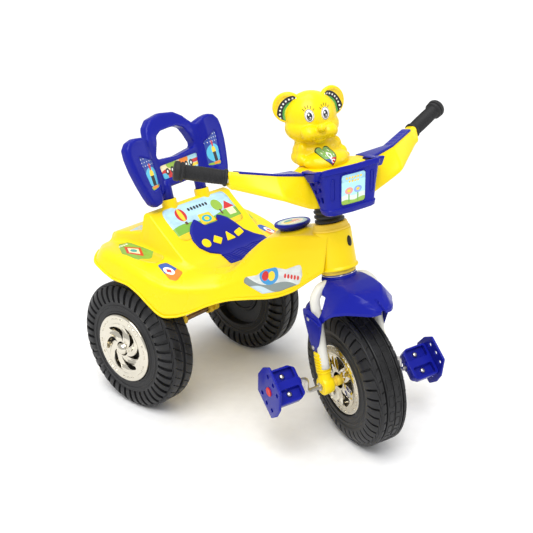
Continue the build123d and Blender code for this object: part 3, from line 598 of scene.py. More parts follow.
DEEP_SIDE = [(9.0, 24.0, 0, 0), (17.0, 24.0, 0, 0), (19.5, 16.0, 0, 0), (34.0, 15.0, 0, 0),
             (36.0, 17.5, 0, 0), (40.0, 17.5, 0, 0), (42.0, 15.0, 0, 0), (60.0, 16.0, 0, 0),
             (65.6, 19.0, 0, 0)]
LUGS = 40
REAR_GAP = 0.385        # notch between two shoulder lugs, as a part of the lug pitch
FRONT_GAP = 0.21
FRONT_LUG_FROM = 99.0   # the front tyre's sidewall is smooth inside this radius
TREAD_CUT = (0.565, 0.675)
TREAD_SKEW = 0.9        # how far the tread's cuts lean, in lug pitches over half the tread


def wheel_profile(tread, front_side, back_side, scale=1.0, lug_from=0.0):
    """Whole closed profile of a wheel, from one bore edge over the tread to the other."""
    half = [(r * scale, x, lug if r > lug_from else 0, cut) for r, x, lug, cut in SIDEWALL] + tread
    far = [(r, -x, lug, cut) for r, x, lug, cut in reversed(half[:-1])]
    back = [(r, -x, lug, cut) for r, x, lug, cut in reversed(back_side)]
    return front_side + half + far + back


def make_tyre(name, centre, sign, profile, turn, gap, place=FIXED):
    """One-piece wheel: notched shoulders and skewed tread cuts are cut into its surface."""
    count = len(profile)
    normals = []
    for index, (r, x, lug, cut) in enumerate(profile):
        before, after = profile[index - 1], profile[(index + 1) % count]
        along = Vector((after[0] - before[0], after[1] - before[1])).normalized()
        normals.append((-along.y, along.x))
    rows = []
    centre = Vector(centre)
    columns = [0.0, 0.03, gap / 2, gap - 0.015, gap + 0.015, 0.55, 0.58, 0.66, 0.69, 0.85]
    for lug_index in range(LUGS):
        for phase in columns:
            in_gap = 0.015 < phase < gap
            in_cut = TREAD_CUT[0] < phase < TREAD_CUT[1]
            row = []
            for (r, x, lug, cut), (normal_r, normal_x) in zip(profile, normals):
                depth = (lug if in_gap else 0.0) + (cut if in_cut else 0.0)
                skew = TREAD_SKEW * max(0.0, 1 - abs(x) / 24.0) if r > 119 else 0.0
                skew = math.copysign(skew, x) if abs(x) > 1e-6 else 0.0
                angle = turn + 2 * math.pi * (lug_index + phase) / LUGS
                angle += 2 * math.pi * (TREAD_SKEW * math.copysign(1, x) - skew) * (r > 119) / LUGS
                radius, across = r - depth * abs(normal_r), x - depth * normal_x_out(normal_x, x)
                row.append(centre + Vector((sign * across, radius * math.sin(angle),
                                            radius * math.cos(angle))))
            rows.append(row)
    obj = grid(name, rows, TYRE, place, wrap_rows=True, wrap_columns=True)
    return smooth_by_angle(obj, 38)


def normal_x_out(normal_x, x):
    """Outward part of a profile normal along the axle."""
    return math.copysign(abs(normal_x), x)


def polar(centre, sign, r, angle, x):
    """Point at a radius and angle about a wheel's axle, x out along it."""
    return centre + Vector((sign * x, r * math.sin(angle), r * math.cos(angle)))


class CapShape:
    """Numbers that set one kind of hub cap."""
    def __init__(self, spokes, twist, radius, face, hub_r, open_from, open_to, open_width, twin):
        self.spokes = spokes
        self.twist = twist
        self.radius = radius
        self.face = face
        self.hub_r = hub_r
        self.open_from = open_from
        self.open_to = open_to
        self.open_width = open_width
        self.twin = twin


REAR_CAP = CapShape(6, 0.95, 66.2, 39.6, 14.0, 17.0, 46.0, 0.27, False)
FRONT_CAP = CapShape(5, 0.0, 64.8, 33.6, 15.0, 18.0, 48.0, 0.30, True)
CAP_COLUMNS = [0.0, 0.05, 0.10, 0.15, 0.19, 0.215, 0.235, 0.25, 0.30, 0.40, 0.5]
CAP_EDGE = 0.235        # column that runs along an opening's edge


def opening_half_width(shape, r):
    """Half width of an opening as a part of the spoke pitch, at one radius."""
    t = (r - shape.open_from) / (shape.open_to - shape.open_from)
    if not 0 < t < 1:
        return 0.03
    return max(0.03, shape.open_width * (math.sin(math.pi * t ** 1.5) ** 0.55) * (0.45 + 0.6 * t))


def cap_phase(u, half_width):
    """Where a column really lies, so that CAP_EDGE follows the opening's edge."""
    if u <= CAP_EDGE:
        return u / CAP_EDGE * (0.5 - half_width)
    return 0.5 - half_width * (0.5 - u) / (0.5 - CAP_EDGE)


def cap_height(shape, u, r):
    """Height of the cap's face at one column and radius."""
    t = (r - shape.open_from) / (shape.open_to - shape.open_from)
    inside = 0.0 < t < 1.0
    rim_dish = -3.0 * max(0.0, 1 - abs(t - 0.62) / 0.5) if inside else 0.0
    height = shape.face + rim_dish
    if not inside:
        return height
    swell = math.sin(math.pi * t)
    if shape.twin:
        ridge = 3.4 * swell * max(0.0, 1 - abs(u - 0.12) / 0.06) - 4.0 * swell * (u < 0.04)
    else:
        ridge = 3.8 * swell * max(0.0, 1 - u / 0.16)
    height += ridge
    if u > CAP_EDGE:
        height -= 11.0 * min(1.0, 4 * swell)
    elif u > 0.2:
        height -= 1.2 * swell
    return height


def make_hubcap(name, centre, sign, shape, turn, place=FIXED):
    """Chromed cap with spokes; the floors of its openings are near-black: the black wheel behind
    them, darkened further as painted shade.
    """
    centre = Vector(centre)
    radii = [shape.hub_r + (shape.open_to + 2 - shape.hub_r) * k / 26 for k in range(27)]
    rim = [(shape.open_to + 3.0, shape.face + 0.5), (50.0, shape.face), (54.0, shape.face - 0.4),
           (62.0, shape.face - 0.6), (shape.radius - 1.6, shape.face - 0.9),
           (shape.radius - 0.4, shape.face - 2.2), (shape.radius, shape.face - 5.0),
           (shape.radius, shape.face - 9.0)]
    columns = CAP_COLUMNS + [1 - u for u in reversed(CAP_COLUMNS[1:-1])]
    rows, deep = [], []
    floor = shape.face - 9.0
    for r in radii:
        row = []
        for index in range(shape.spokes):
            for u in columns:
                folded = min(u, 1 - u)
                phase = cap_phase(folded, opening_half_width(shape, r))
                phase = phase if u <= 0.5 else 1 - phase
                spiral = shape.twist * ((r - shape.hub_r) / (shape.open_to - shape.hub_r)) ** 1.3
                angle = turn + 2 * math.pi * (index + phase) / shape.spokes + spiral
                height = cap_height(shape, folded, r)
                row.append(polar(centre, sign, r, angle, height))
                deep.append(height < floor)
        rows.append(row)
    steps = len(rows[0])
    last = shape.twist * ((shape.open_to + 2 - shape.hub_r) / (shape.open_to - shape.hub_r)) ** 1.3
    for r, x in rim:
        rows.append([polar(centre, sign, r, turn + last + 2 * math.pi * k / steps, x)
                     for k in range(steps)])
        deep.extend([False] * steps)
    cap = grid(name, rows, CHROME, place, wrap_columns=True)
    # The openings' floors get the near-black: the black wheel behind them plus painted shade.
    cap.data.materials.append(OPENING_BLACK_AND_SHADE)
    for polygon in cap.data.polygons:
        if all(deep[v] for v in polygon.vertices):
            polygon.material_index = 1
    smooth_by_angle(cap, 50)
    return cap


def make_cap_dome(name, centre, sign, r, base, height, place=FIXED):
    """Ball-nosed centre of a hub cap."""
    profile = [(r + 3.5, base - 1.5), (r + 2.5, base + 0.5), (r, base + 1.2)]
    for step in range(1, 11):
        angle = math.pi / 2 * step / 10
        profile.append((r * math.cos(angle) + 0.01, base + 1.2 + height * math.sin(angle)))
    return lathe(name, profile, Vector(centre), (sign, 0, 0), CHROME, place, segments=64)


def make_rim_marks(name, centre, sign, shape, count, place=FIXED):
    """Plain raised dashes round the cap's rim."""
    centre = Vector(centre)
    marks = []
    for index in range(count):
        if index % 4 == 3:
            continue
        middle = 2 * math.pi * index / count
        path = [polar(centre, sign, 58.0, middle + 0.055 * k, shape.face - 0.4)
                for k in (-1, -0.5, 0, 0.5, 1)]
        marks.append(tube(f"{name}_{index}", path, 1.1, CHROME, place, segments=8))
    return join(marks, name)


REAR_PROFILE = wheel_profile(REAR_TREAD, CAP_SIDE, DEEP_SIDE)
FRONT_PROFILE = wheel_profile(FRONT_TREAD, [(4.1, 27, 0, 0)] + CAP_SIDE[1:],
                              [(4.1, 27, 0, 0)] + CAP_SIDE[1:], 0.985, FRONT_LUG_FROM)


def build_rear_wheels():
    for side, sign in SIDES.items():
        body = f"rear_wheel_set_{side}"
        centre = Vector((sign * REAR_HUB.x, REAR_HUB.y, REAR_HUB.z))
        tyre = make_tyre(f"rear_tyre_{side}", centre, sign, REAR_PROFILE, 0.05, REAR_GAP)
        place_piece(tyre, body, "tyre_black", f"rear_wheel_{side}")
        cap = make_hubcap(f"rear_cap_{side}", centre, sign, REAR_CAP, 0.35)
        place_piece(cap, body, "chrome", f"rear_hubcap_{side}")
        dome = make_cap_dome(f"rear_cap_dome_{side}", centre, sign, 11.5, 37.5, 10.0)
        place_piece(dome, body, "chrome", f"rear_hubcap_{side}")
        marks = make_rim_marks(f"rear_cap_marks_{side}", centre, sign, REAR_CAP, 32)
        place_piece(marks, body, "chrome", f"rear_hubcap_{side}")


def link_path(centre, angle, half_angle, x_from, x_to, r):
    """Closed rounded loop lying on the tread, worked out from its corners."""
    corners = [(x_from, -half_angle), (x_to, -half_angle), (x_to, half_angle),
               (x_from, half_angle)]
    flat = rounded([(x, a * r, 0) for x, a in corners], [3.2] * 4, 3, 2, closed=True)
    path = []
    for p in flat:
        turn = angle + p.y / r
        path.append(centre + Vector((p.x, r * math.sin(turn), r * math.cos(turn))))
    return path


TREAD_LINKS = 26


def make_tread_links(centre, place):
    """Plain loops embossed on the front tyre's middle band, in two staggered rows."""
    loops = []
    for index in range(TREAD_LINKS):
        for row, (x_from, x_to) in enumerate(((-10.6, -1.6), (1.6, 10.6))):
            angle = 2 * math.pi * (index + 0.5 * row) / TREAD_LINKS
            path = link_path(centre, angle, 0.085, x_from, x_to, 124.1)
            loops.append(tube(f"link_{index}_{row}", path, 0.85, TYRE, place, 6, closed=True))
    return join(loops, "tread_links")


def build_front_wheel():
    body = "front_wheel_set"
    tyre = make_tyre("front_tyre", FRONT_HUB, 1, FRONT_PROFILE, 0.0, FRONT_GAP, STEERED)
    place_piece(tyre, body, "tyre_black", "front_wheel")
    place_piece(make_tread_links(FRONT_HUB, STEERED), body, "tyre_black", "front_wheel")
    for side, sign in SIDES.items():
        cap = make_hubcap(f"front_cap_{side}", FRONT_HUB, sign, FRONT_CAP, 0.5, STEERED)
        place_piece(cap, body, "chrome", f"front_hubcap_{side}")
        marks = make_rim_marks(f"front_cap_marks_{side}", FRONT_HUB, sign, FRONT_CAP, 40, STEERED)
        place_piece(marks, body, "chrome", f"front_hubcap_{side}")


build_rear_wheels()
build_front_wheel()


# ---- soft shapes ----
def remesh(obj, voxel, smooth_steps, factor=0.5):
    """One closed skin round everything in the mesh, with softened edges."""
    modify(obj, "REMESH", mode="VOXEL", voxel_size=voxel * MM, use_smooth_shade=True)
    if smooth_steps:
        modify(obj, "SMOOTH", factor=factor, iterations=smooth_steps)
    obj.data.shade_smooth()
    return obj


def ball(name, centre, radii, material, turn=None, segments=32):
    """Ellipsoid, optionally turned about its own centre."""
    turn = turn or Matrix.Identity(3)
    centre = Vector(centre)
    rows = []
    for i in range(segments // 2 + 1):
        polar_angle = math.pi * (0.002 + 0.996 * i / (segments // 2))
        row = []
        for j in range(segments):
            a = 2 * math.pi * j / segments
            p = Vector((math.sin(polar_angle) * math.cos(a) * radii[0],
                        math.sin(polar_angle) * math.sin(a) * radii[1],
                        math.cos(polar_angle) * radii[2]))
            row.append(centre + turn @ p)
        rows.append(row)
    return grid(name, rows, material, wrap_columns=True, caps=True)


def edge_distance(point, outline):
    """Distance of a point inside a closed outline from its edge, negative outside."""
    x, y = point
    nearest, inside = 1e9, False
    for (ax, ay), (bx, by) in zip(outline, outline[1:] + outline[:1]):
        dx, dy = bx - ax, by - ay
        t = ((x - ax) * dx + (y - ay) * dy) / (dx * dx + dy * dy)
        t = min(max(t, 0.0), 1.0)
        nearest = min(nearest, math.hypot(x - ax - dx * t, y - ay - dy * t))
        if (ay > y) != (by > y) and x < ax + (y - ay) / dy * dx:
            inside = not inside
    return nearest if inside else -nearest


def smooth_step(value, low, high):
    t = min(max((value - low) / (high - low), 0.0), 1.0)
    return t * t * (3 - 2 * t)


def mirror_outline(half):
    """Closed outline from its right-hand half, which starts and ends on the centre line."""
    return half + [(-x, y) for x, y in reversed(half) if x > 0]


def arc_points(centre, radii, start, end, steps):
    """Points on an ellipse between two angles in degrees."""
    points = []
    for k in range(steps + 1):
        a = math.radians(start + (end - start) * k / steps)
        points.append((centre[0] + radii[0] * math.cos(a), centre[1] + radii[1] * math.sin(a)))
    return points


# ---- printed stickers ----
class Art:
    """Flat picture drawn with shader nodes in a sticker's own 0 to 1 coordinates."""
    def __init__(self, name, background, roughness=0.35):
        self.material, self.nodes, self.links = new_material(name)
        self.shader = self.nodes["Principled BSDF"]
        self.shader.inputs["Roughness"].default_value = roughness
        uv = self.nodes.new("ShaderNodeUVMap")
        uv.uv_map = "art"
        self.uv = uv.outputs["UV"]
        noise = self.nodes.new("ShaderNodeTexNoise")
        noise.inputs["Scale"].default_value = 7.0
        self.links.new(self.uv, noise.inputs["Vector"])
        low, high = shade(background, 0.9), shade(background, 1.08)
        self.colour = ramp(self.material, noise.outputs["Fac"],
                           [(0.35, low), (0.65, high)]).outputs["Color"]
        self.noise = noise.outputs["Fac"]
        self.separate = self.nodes.new("ShaderNodeSeparateXYZ")
        self.links.new(self.uv, self.separate.inputs["Vector"])

    def maths(self, operation, first, second=0.0, third=0.0):
        node = self.nodes.new("ShaderNodeMath")
        node.operation = operation
        for socket, value in zip(node.inputs, (first, second, third)):
            if isinstance(value, (int, float)):
                socket.default_value = value
            else:
                self.links.new(value, socket)
        return node.outputs[0]

    def paint(self, mask, colour):
        """Lay a colour over the picture where the mask is 1."""
        mix = self.nodes.new("ShaderNodeMix")
        mix.data_type = "RGBA"
        self.links.new(mask, mix.inputs["Factor"])
        self.links.new(self.colour, mix.inputs["A"])
        mix.inputs["B"].default_value = (*colour, 1.0)
        self.colour = mix.outputs["Result"]
        return self

    def offset(self, centre, scale):
        """Coordinates measured from a centre in units of a scale."""
        u = self.maths("DIVIDE", self.maths("SUBTRACT", self.separate.outputs["X"], centre[0]),
                       scale[0])
        v = self.maths("DIVIDE", self.maths("SUBTRACT", self.separate.outputs["Y"], centre[1]),
                       scale[1])
        return u, v

    def disc(self, centre, radii, colour):
        u, v = self.offset(centre, radii)
        reach = self.maths("ADD", self.maths("MULTIPLY", u, u), self.maths("MULTIPLY", v, v))
        return self.paint(self.maths("LESS_THAN", reach, 1.0), colour)

    def ring(self, centre, radii, thickness, colour):
        u, v = self.offset(centre, radii)
        reach = self.maths("SQRT", self.maths("ADD", self.maths("MULTIPLY", u, u),
                                              self.maths("MULTIPLY", v, v)))
        return self.paint(self.maths("COMPARE", reach, 1.0, thickness), colour)

    def box(self, centre, half, colour):
        u, v = self.offset(centre, half)
        reach = self.maths("MAXIMUM", self.maths("ABSOLUTE", u), self.maths("ABSOLUTE", v))
        return self.paint(self.maths("LESS_THAN", reach, 1.0), colour)

    def diamond(self, centre, half, colour):
        u, v = self.offset(centre, half)
        reach = self.maths("ADD", self.maths("ABSOLUTE", u), self.maths("ABSOLUTE", v))
        return self.paint(self.maths("LESS_THAN", reach, 1.0), colour)

    def roof(self, apex, half_width, height, colour):
        """Triangle that hangs down from its apex."""
        u, v = self.offset(apex, (half_width, -height))
        side = self.maths("LESS_THAN", self.maths("ABSOLUTE", u), v)
        base = self.maths("LESS_THAN", v, 1.0)
        return self.paint(self.maths("MULTIPLY", side, base), colour)

    def below(self, level, wave, colour, waves=9.0):
        """Everything under a wavy line."""
        swell = self.maths("SINE", self.maths("MULTIPLY", self.separate.outputs["X"], waves))
        line = self.maths("ADD", self.maths("MULTIPLY", swell, wave), level)
        return self.paint(self.maths("LESS_THAN", self.separate.outputs["Y"], line), colour)

    def dots(self, count, centre, half, radii, colour):
        """Row of equal dots inside a box: a plain stand-in for printed words."""
        u, v = self.offset((centre[0] - half[0], centre[1]), (2 * half[0] / count, half[1]))
        cell = self.maths("SUBTRACT", self.maths("FRACT", u), 0.5)
        across = self.maths("DIVIDE", cell, radii[0])
        up = self.maths("DIVIDE", v, radii[1])
        reach = self.maths("ADD", self.maths("MULTIPLY", across, across),
                           self.maths("MULTIPLY", up, up))
        inside = self.maths("MULTIPLY", self.maths("LESS_THAN", reach, 1.0),
                            self.maths("MULTIPLY", self.maths("GREATER_THAN", u, 0.0),
                                       self.maths("LESS_THAN", u, float(count))))
        return self.paint(inside, colour)

    def done(self):
        self.links.new(self.colour, self.shader.inputs["Base Color"])
        return self.material


STICKER_LIFT = 0.45
STICKER_RINGS = 12


def add_uv(obj, coordinates):
    """Store one (u, v) per vertex as the picture's own map."""
    layer = obj.data.uv_layers.new(name="art")
    for loop in obj.data.loops:
        layer.data[loop.index].uv = coordinates[loop.vertex_index]


def sticker(name, outline, to_surface, material, place=FIXED, lift=STICKER_LIFT, box=None):
    """Thin patch inside a closed outline; to_surface gives (point, normal) for (a, b)."""
    count = len(outline)
    middle = (sum(a for a, b in outline) / count, sum(b for a, b in outline) / count)
    lows = box[0] if box else (min(a for a, b in outline), min(b for a, b in outline))
    highs = box[1] if box else (max(a for a, b in outline), max(b for a, b in outline))
    rows, uvs = [], []
    for ring in range(STICKER_RINGS + 2):
        share = min(1.0, 0.02 + 0.98 * ring / STICKER_RINGS)
        height = lift if ring <= STICKER_RINGS else -0.4
        row = []
        for a, b in outline:
            here = (middle[0] + (a - middle[0]) * share, middle[1] + (b - middle[1]) * share)
            point, normal = to_surface(*here)
            if point is None:
                point, normal = previous
            previous = (point, normal)
            row.append(point + normal * height)
            uvs.append(((here[0] - lows[0]) / (highs[0] - lows[0]),
                        (here[1] - lows[1]) / (highs[1] - lows[1])))
        rows.append(row)
    faces = grid_faces(len(rows), count, False, True) + [tuple(range(count))]
    obj = add_mesh(name, [p for row in rows for p in row], faces, material, place)
    fix_normals(obj)
    add_uv(obj, uvs)
    return obj


def rounded_box(low, high, radius, steps=5):
    """Outline of a rectangle with round corners."""
    corners = [(low[0], low[1], 0), (high[0], low[1], 0), (high[0], high[1], 0),
               (low[0], high[1], 0)]
    return [(p.x, p.y) for p in rounded(corners, [radius] * 4, steps, 8, closed=True)]


def smooth_outline(points, radius=4.0, steps=5, line_steps=5):
    """Closed outline with its corners rounded."""
    flat = [(x, y, 0) for x, y in points]
    return [(p.x, p.y) for p in rounded(flat, [radius] * len(flat), steps, line_steps,
                                        closed=True)]


# ---- backrest ----
BACK_HALF = [(0, 28), (36, 29), (49, 26), (67, 15), (80, 8), (94, 6), (104, 14), (110, 29),
             (117, 55), (122, 80), (124, 105), (122, 122), (112, 133), (97, 137), (80, 135),
             (67, 130), (62, 126), (49, 147), (32, 159), (0, 164)]
BACK_HOLE_HALF = [(0, 80), (48, 85), (51, 92), (42, 112), (36, 126), (22, 133), (0, 134)]
BACK_THICK = 22.0
BACK_ROLL = math.radians(3.5)
BACK_ROLL_S = 30.0
WING_PANEL = [(103, 106), (68, 89), (65, 40), (93, 36)]
CENTRE_PANEL = [(-51, 73.5), (51, 73.5), (47, 44.5), (-47, 44.5)]
PANEL_DEEP = 2.2
BACK_VOXEL = 1.7
POST_R = 10.8

wing_top = monotone([0, 50, 62, 80, 124], [-7, -7, -9, -17, -16])
wing_low = monotone([0, 50, 62, 80, 124], [-7, -7, -11, -23, -25])
arch_back = monotone([0, 112, 125, 162], [0, 0, 2.5, 15])


def back_front(x, s):
    """Depth of the panel's front face."""
    x = abs(x)
    t = min(max((s - 20) / 105, 0.0), 1.0)
    depth = wing_low(x) * (1 - t) + wing_top(x) * t
    return depth + arch_back(s) * (1 - smooth_step(x, 50, 66))


def rolled_back(x, s, depth):
    """Panel space to row space: the panel sits a little crooked on its posts."""
    up = s - BACK_ROLL_S
    across = x * math.cos(BACK_ROLL) - up * math.sin(BACK_ROLL)
    return back_space(across, BACK_ROLL_S + x * math.sin(BACK_ROLL) + up * math.cos(BACK_ROLL),
                      depth)


def wing_panels():
    mirrored = [(-x, s) for x, s in reversed(WING_PANEL)]
    return [smooth_outline(panel, 5.0) for panel in (WING_PANEL, mirrored, CENTRE_PANEL)]


def make_back_panel():
    """Soft-edged bow-tie panel with a grab hole and three sunk fields."""
    half = BACK_THICK / 2
    outline = smooth_outline(mirror_outline(BACK_HALF), 7.0, 4, 2)
    hole = smooth_outline(mirror_outline(BACK_HOLE_HALF), 7.0, 4, 2)
    panel = soft_prism("backrest_panel", outline, -half, half, 6.0, BLUE)
    cut(panel, prism("hole_tool", hole, -half - 5, half + 5, BLUE))
    remesh(panel, BACK_VOXEL, 7)
    fields = wing_panels()
    for vertex in panel.data.vertices:
        x, s, depth = vertex.co / MM
        if depth < 0 and 25 < s < 115:
            reach = max(edge_distance((x, s), field) for field in fields)
            depth += PANEL_DEEP * smooth_step(reach, -0.6, 1.6)
        front = back_front(x, s)
        vertex.co = rolled_back(x, s, front + depth + half) * MM
    panel.data.shade_smooth()
    return panel


def make_back_posts():
    posts = []
    for side, sign in SIDES.items():
        profile = [(0.01, -10), (POST_R, -10), (POST_R, 30), (POST_R, 42), (0.01, 42)]
        posts.append(lathe(f"post_{side}", profile, back_space(sign * POST_X, 0, 0), POST_UP,
                           BLUE, segments=64))
    return join(posts, "backrest_posts")


def on_back(a, b):
    """Point and outward direction on the floor of a sunk field."""
    point = rolled_back(a, b, back_front(a, b) + PANEL_DEEP)
    return point, -POST_BACK


# Print colours of the stickers.
NIGHT = (0.02, 0.06, 0.35)
CYAN = (0.10, 0.52, 0.78)
WHITE = (0.9, 0.9, 0.9)
CREAM = (0.9, 0.8, 0.5)
GREEN = (0.12, 0.40, 0.05)
ORANGE = (0.85, 0.25, 0.02)
BROWN = (0.12, 0.05, 0.02)
CRIMSON = (0.6, 0.03, 0.03)
INK = (0.01, 0.01, 0.015)
SKY = (0.36, 0.66, 0.80)
GOLD = (0.95, 0.66, 0.04)
LEAF = (0.30, 0.50, 0.06)
TEAL = (0.05, 0.38, 0.36)
PINK = (0.85, 0.35, 0.3)


def night_art():
    """Starry sky over a lit disc, a small lantern and a green bank."""
    art = Art("backrest_wing_art", NIGHT)
    for row in range(3):
        art.dots(6, (0.5, 0.72 + 0.1 * row), (0.5, 0.06), (0.14, 0.25), WHITE)
    art.disc((0.5, 0.38), (0.42, 0.27), CYAN).disc((0.5, 0.46), (0.13, 0.12), GOLD)
    art.box((0.5, 0.27), (0.11, 0.14), INK).disc((0.5, 0.66), (0.06, 0.10), CRIMSON)
    art.below(0.1, 0.02, LEAF).box((0.52, 0.09), (0.2, 0.035), ORANGE)
    return art.done()


def band_art():
    """Bright quarters with a dark row of beads across."""
    art = Art("backrest_centre_art", CREAM)
    art.disc((0.12, 0.15), (0.16, 0.5), CRIMSON).disc((0.06, 0.1), (0.10, 0.34), CYAN)
    art.disc((0.3, 0.9), (0.14, 0.3), LEAF).box((0.86, 0.5), (0.13, 0.5), SKY)
    art.box((0.88, 0.55), (0.12, 0.12), CRIMSON).box((0.88, 0.3), (0.12, 0.1), GOLD)
    art.disc((0.62, 0.85), (0.12, 0.3), ORANGE)
    art.dots(6, (0.48, 0.48), (0.38, 0.25), (0.38, 0.9), INK)
    art.dots(6, (0.48, 0.48), (0.38, 0.25), (0.16, 0.4), WHITE)
    return art.done()


def build_backrest():
    place_piece(make_back_panel(), "frame", "body_blue", "backrest")
    place_piece(make_back_posts(), "frame", "body_blue", "backrest")
    wing = night_art()
    names = ("left", "right", "centre")
    for name, field in zip(names, wing_panels()):
        art = band_art() if name == "centre" else wing
        inner = [(x * 0.985 + 0.015 * sum(p[0] for p in field) / len(field), s) for x, s in field]
        piece = sticker(f"backrest_art_{name}", inner, on_back, art)
        place_piece(piece, "frame", "body_blue", "backrest")


build_backrest()


# ---- handlebar cover ----
# Corners of the cover's section at each bend: x, then (y, z) of the front lower, front upper,
# rear upper and rear lower edge.
BAR_SECTIONS = [
    (0, (-183, 440), (-168, 501), (-76, 500), (-86, 446)),
    (58, (-182, 447), (-167, 504), (-120, 496), (-112, 450)),
    (108, (-195, 474), (-161, 513), (-132, 504), (-146, 480)),
    (171, (-143, 495), (-132, 525), (-109, 520), (-114, 498)),
]
BAR_TIP_X = 177.0
BAR_EDGE = 7.0
TIP_STEPS = 6


def bar_paths():
    """The four long edges of the cover from tip to tip, rounded at the bends."""
    paths = []
    for corner in range(1, 5):
        points = [(-row[0], *row[corner]) for row in reversed(BAR_SECTIONS[1:])]
        points += [(row[0], *row[corner]) for row in BAR_SECTIONS]
        paths.append(rounded(points, [16.0] * len(points), 6, 6))
    return paths


def make_handlebar_cover():
    paths = bar_paths()
    rows = []
    for index in range(len(paths[0])):
        quad = [path[index] for path in paths]
        rows.append(rounded(quad, [BAR_EDGE] * 4, 5, 6, closed=True))
    for end in (0, -1):
        rim = rows[end]
        middle = sum(rim, Vector()) / len(rim)
        sign = -1 if end == 0 else 1
        caps = []
        for step in range(1, TIP_STEPS + 1):
            angle = math.pi / 2 * step / TIP_STEPS
            shrink = 1 - 0.32 * (1 - math.cos(angle))
            shift = Vector((sign * (BAR_TIP_X - abs(rim[0].x)) * math.sin(angle), 0, 0))
            caps.append([middle + (p - middle) * shrink + shift for p in rim])
        rows = list(reversed(caps)) + rows if end == 0 else rows + caps
    cover = grid("handlebar_cover_shell", rows, YELLOW, STEERED, wrap_columns=True, caps=True)
    return smooth_by_angle(cover, 40)


def bar_point(x, across, height):
    """Point over the cover's top: across runs from its front edge (0) to its rear edge (1)."""
    sections = [(row[0], row[2], row[3]) for row in BAR_SECTIONS]
    xs = [row[0] for row in sections]
    index = min(max(bisect_right(xs, abs(x)) - 1, 0), len(xs) - 2)
    t = (abs(x) - xs[index]) / (xs[index + 1] - xs[index])
    front, rear = (Vector((x, *a[k])).lerp(Vector((x, *b[k])), t)
                   for a, b, k in ((sections[index], sections[index + 1], 1),
                                   (sections[index], sections[index + 1], 2)))
    return front.lerp(rear, across) + Vector((0, 0, height))


WING_X = (61.0, 160.0)
WING_THICK = 1.6
WING_SLOTS = (112.0, 121.0, 130.0, 139.0, 148.0)


def make_wing_cover(sign):
    """Blue plate along one wing's top, with a lip over the front edge and cross slots."""
    steps = 44
    section = [(-0.02, -3.0), (-0.05, -1.0), (-0.05, 0.8), (-0.01, WING_THICK), (0.06, WING_THICK),
               (0.25, WING_THICK), (0.5, WING_THICK), (0.75, WING_THICK), (0.93, WING_THICK),
               (1.0, 1.0), (1.0, 0.0), (0.9, -2.0), (0.1, -2.0)]
    rows = []
    for k in range(steps + 1):
        x = WING_X[0] + (WING_X[1] - WING_X[0]) * k / steps
        end = min(k, steps - k)
        sink = 1.0 if end == 0 else 0.0
        row = []
        for across, height in section:
            slot = min(abs(x - s) for s in WING_SLOTS)
            deep = 1.3 if slot < 1.9 and 0.2 < across < 0.8 and height > 1 else 0.0
            row.append(bar_point(sign * x, across, height - deep - sink * max(height, 0) * 0.4))
        rows.append(row)
    plate = grid(f"wing_plate_{'left' if sign > 0 else 'right'}", rows, BLUE, STEERED,
                 wrap_columns=True, caps=True)
    return smooth_by_angle(plate, 40)


GRIP_FROM = Vector((174.0, -121.0, 512.5))
GRIP_TO = Vector((244.0, -94.5, 532.5))
GRIP_RIBS = 26


def make_grip(sign):
    """Soft grip: inner flange, ribbed barrel and a thick outer end."""
    start = Vector((sign * GRIP_FROM.x, GRIP_FROM.y, GRIP_FROM.z))
    end = Vector((sign * GRIP_TO.x, GRIP_TO.y, GRIP_TO.z))
    length = (end - start).length
    profile = [(0.02, 0), (12.6, 0), (13.8, 1.2), (13.8, 4.0), (12.8, 5.2), (11.6, 5.8)]
    barrel_from, barrel_to = 7.0, length - 11.0
    for k in range(GRIP_RIBS * 4):
        t = k / (GRIP_RIBS * 4 - 1)
        ripple = 0.35 * math.cos(2 * math.pi * k / 4)
        swell = 0.5 * math.sin(math.pi * t)
        profile.append((11.5 + swell + ripple, barrel_from + (barrel_to - barrel_from) * t))
    profile += [(12.4, length - 10), (14.6, length - 9), (15.2, length - 8), (15.2, length - 5.5),
                (14.0, length - 4.6), (14.0, length - 3.4), (15.6, length - 2.6),
                (15.8, length + 2.5), (14.6, length + 5), (11, length + 6.2), (0.02, length + 6.6)]
    grip = lathe(f"grip_{'left' if sign > 0 else 'right'}_sleeve", profile, start, end - start,
                 GRIP, STEERED, segments=64)
    return smooth_by_angle(grip, 50)


# ---- basket ----
# z, front y, half width at the front, rear y, half width at the rear
BASKET_BOW = 3.0
BASKET = [
    (439, -203.0, 42, -186, 46), (441, -205.0, 44, -184, 48), (449, -206.0, 45, -182, 50),
    (450.5, -204.4, 44, -182, 49), (452, -204.2, 44, -181, 49), (478, -206.0, 46, -175, 54),
    (500, -208.0, 48.5, -171, 60), (510, -208.6, 49.5, -170, 62), (511.5, -210.6, 51, -169, 63.5),
    (518, -211.0, 51.5, -169, 64), (520, -210.0, 50.5, -170, 63),
]
BASKET_INSET = 2.6
BASKET_LOW = 441.0
# y, z, width and height of the holes in each side
BASKET_HOLES = [(-194, 497, 6, 5), (-182, 491, 6, 5), (-193, 483, 5, 8), (-183, 478, 5, 8),
                (-194, 466, 5, 11), (-186, 463, 4, 9)]
RIM_DROP = 17.0         # the rim is this much lower at the rear than at the front


def basket_row(z, front, half_front, rear, half_rear, inset=0.0):
    """One level of the basket wall, lower towards the rear near the rim."""
    drop = RIM_DROP * max(0.0, z - BASKET_LOW) / (BASKET[-1][0] - BASKET_LOW)
    points = [(-half_rear + inset, rear - inset, z - drop),
              (-half_front + inset, front + inset, z), (0, front - BASKET_BOW + inset, z),
              (half_front - inset, front + inset, z), (half_rear - inset, rear - inset, z - drop)]
    return rounded(points, [6, 11, 60, 11, 6], 6, 6, closed=True)


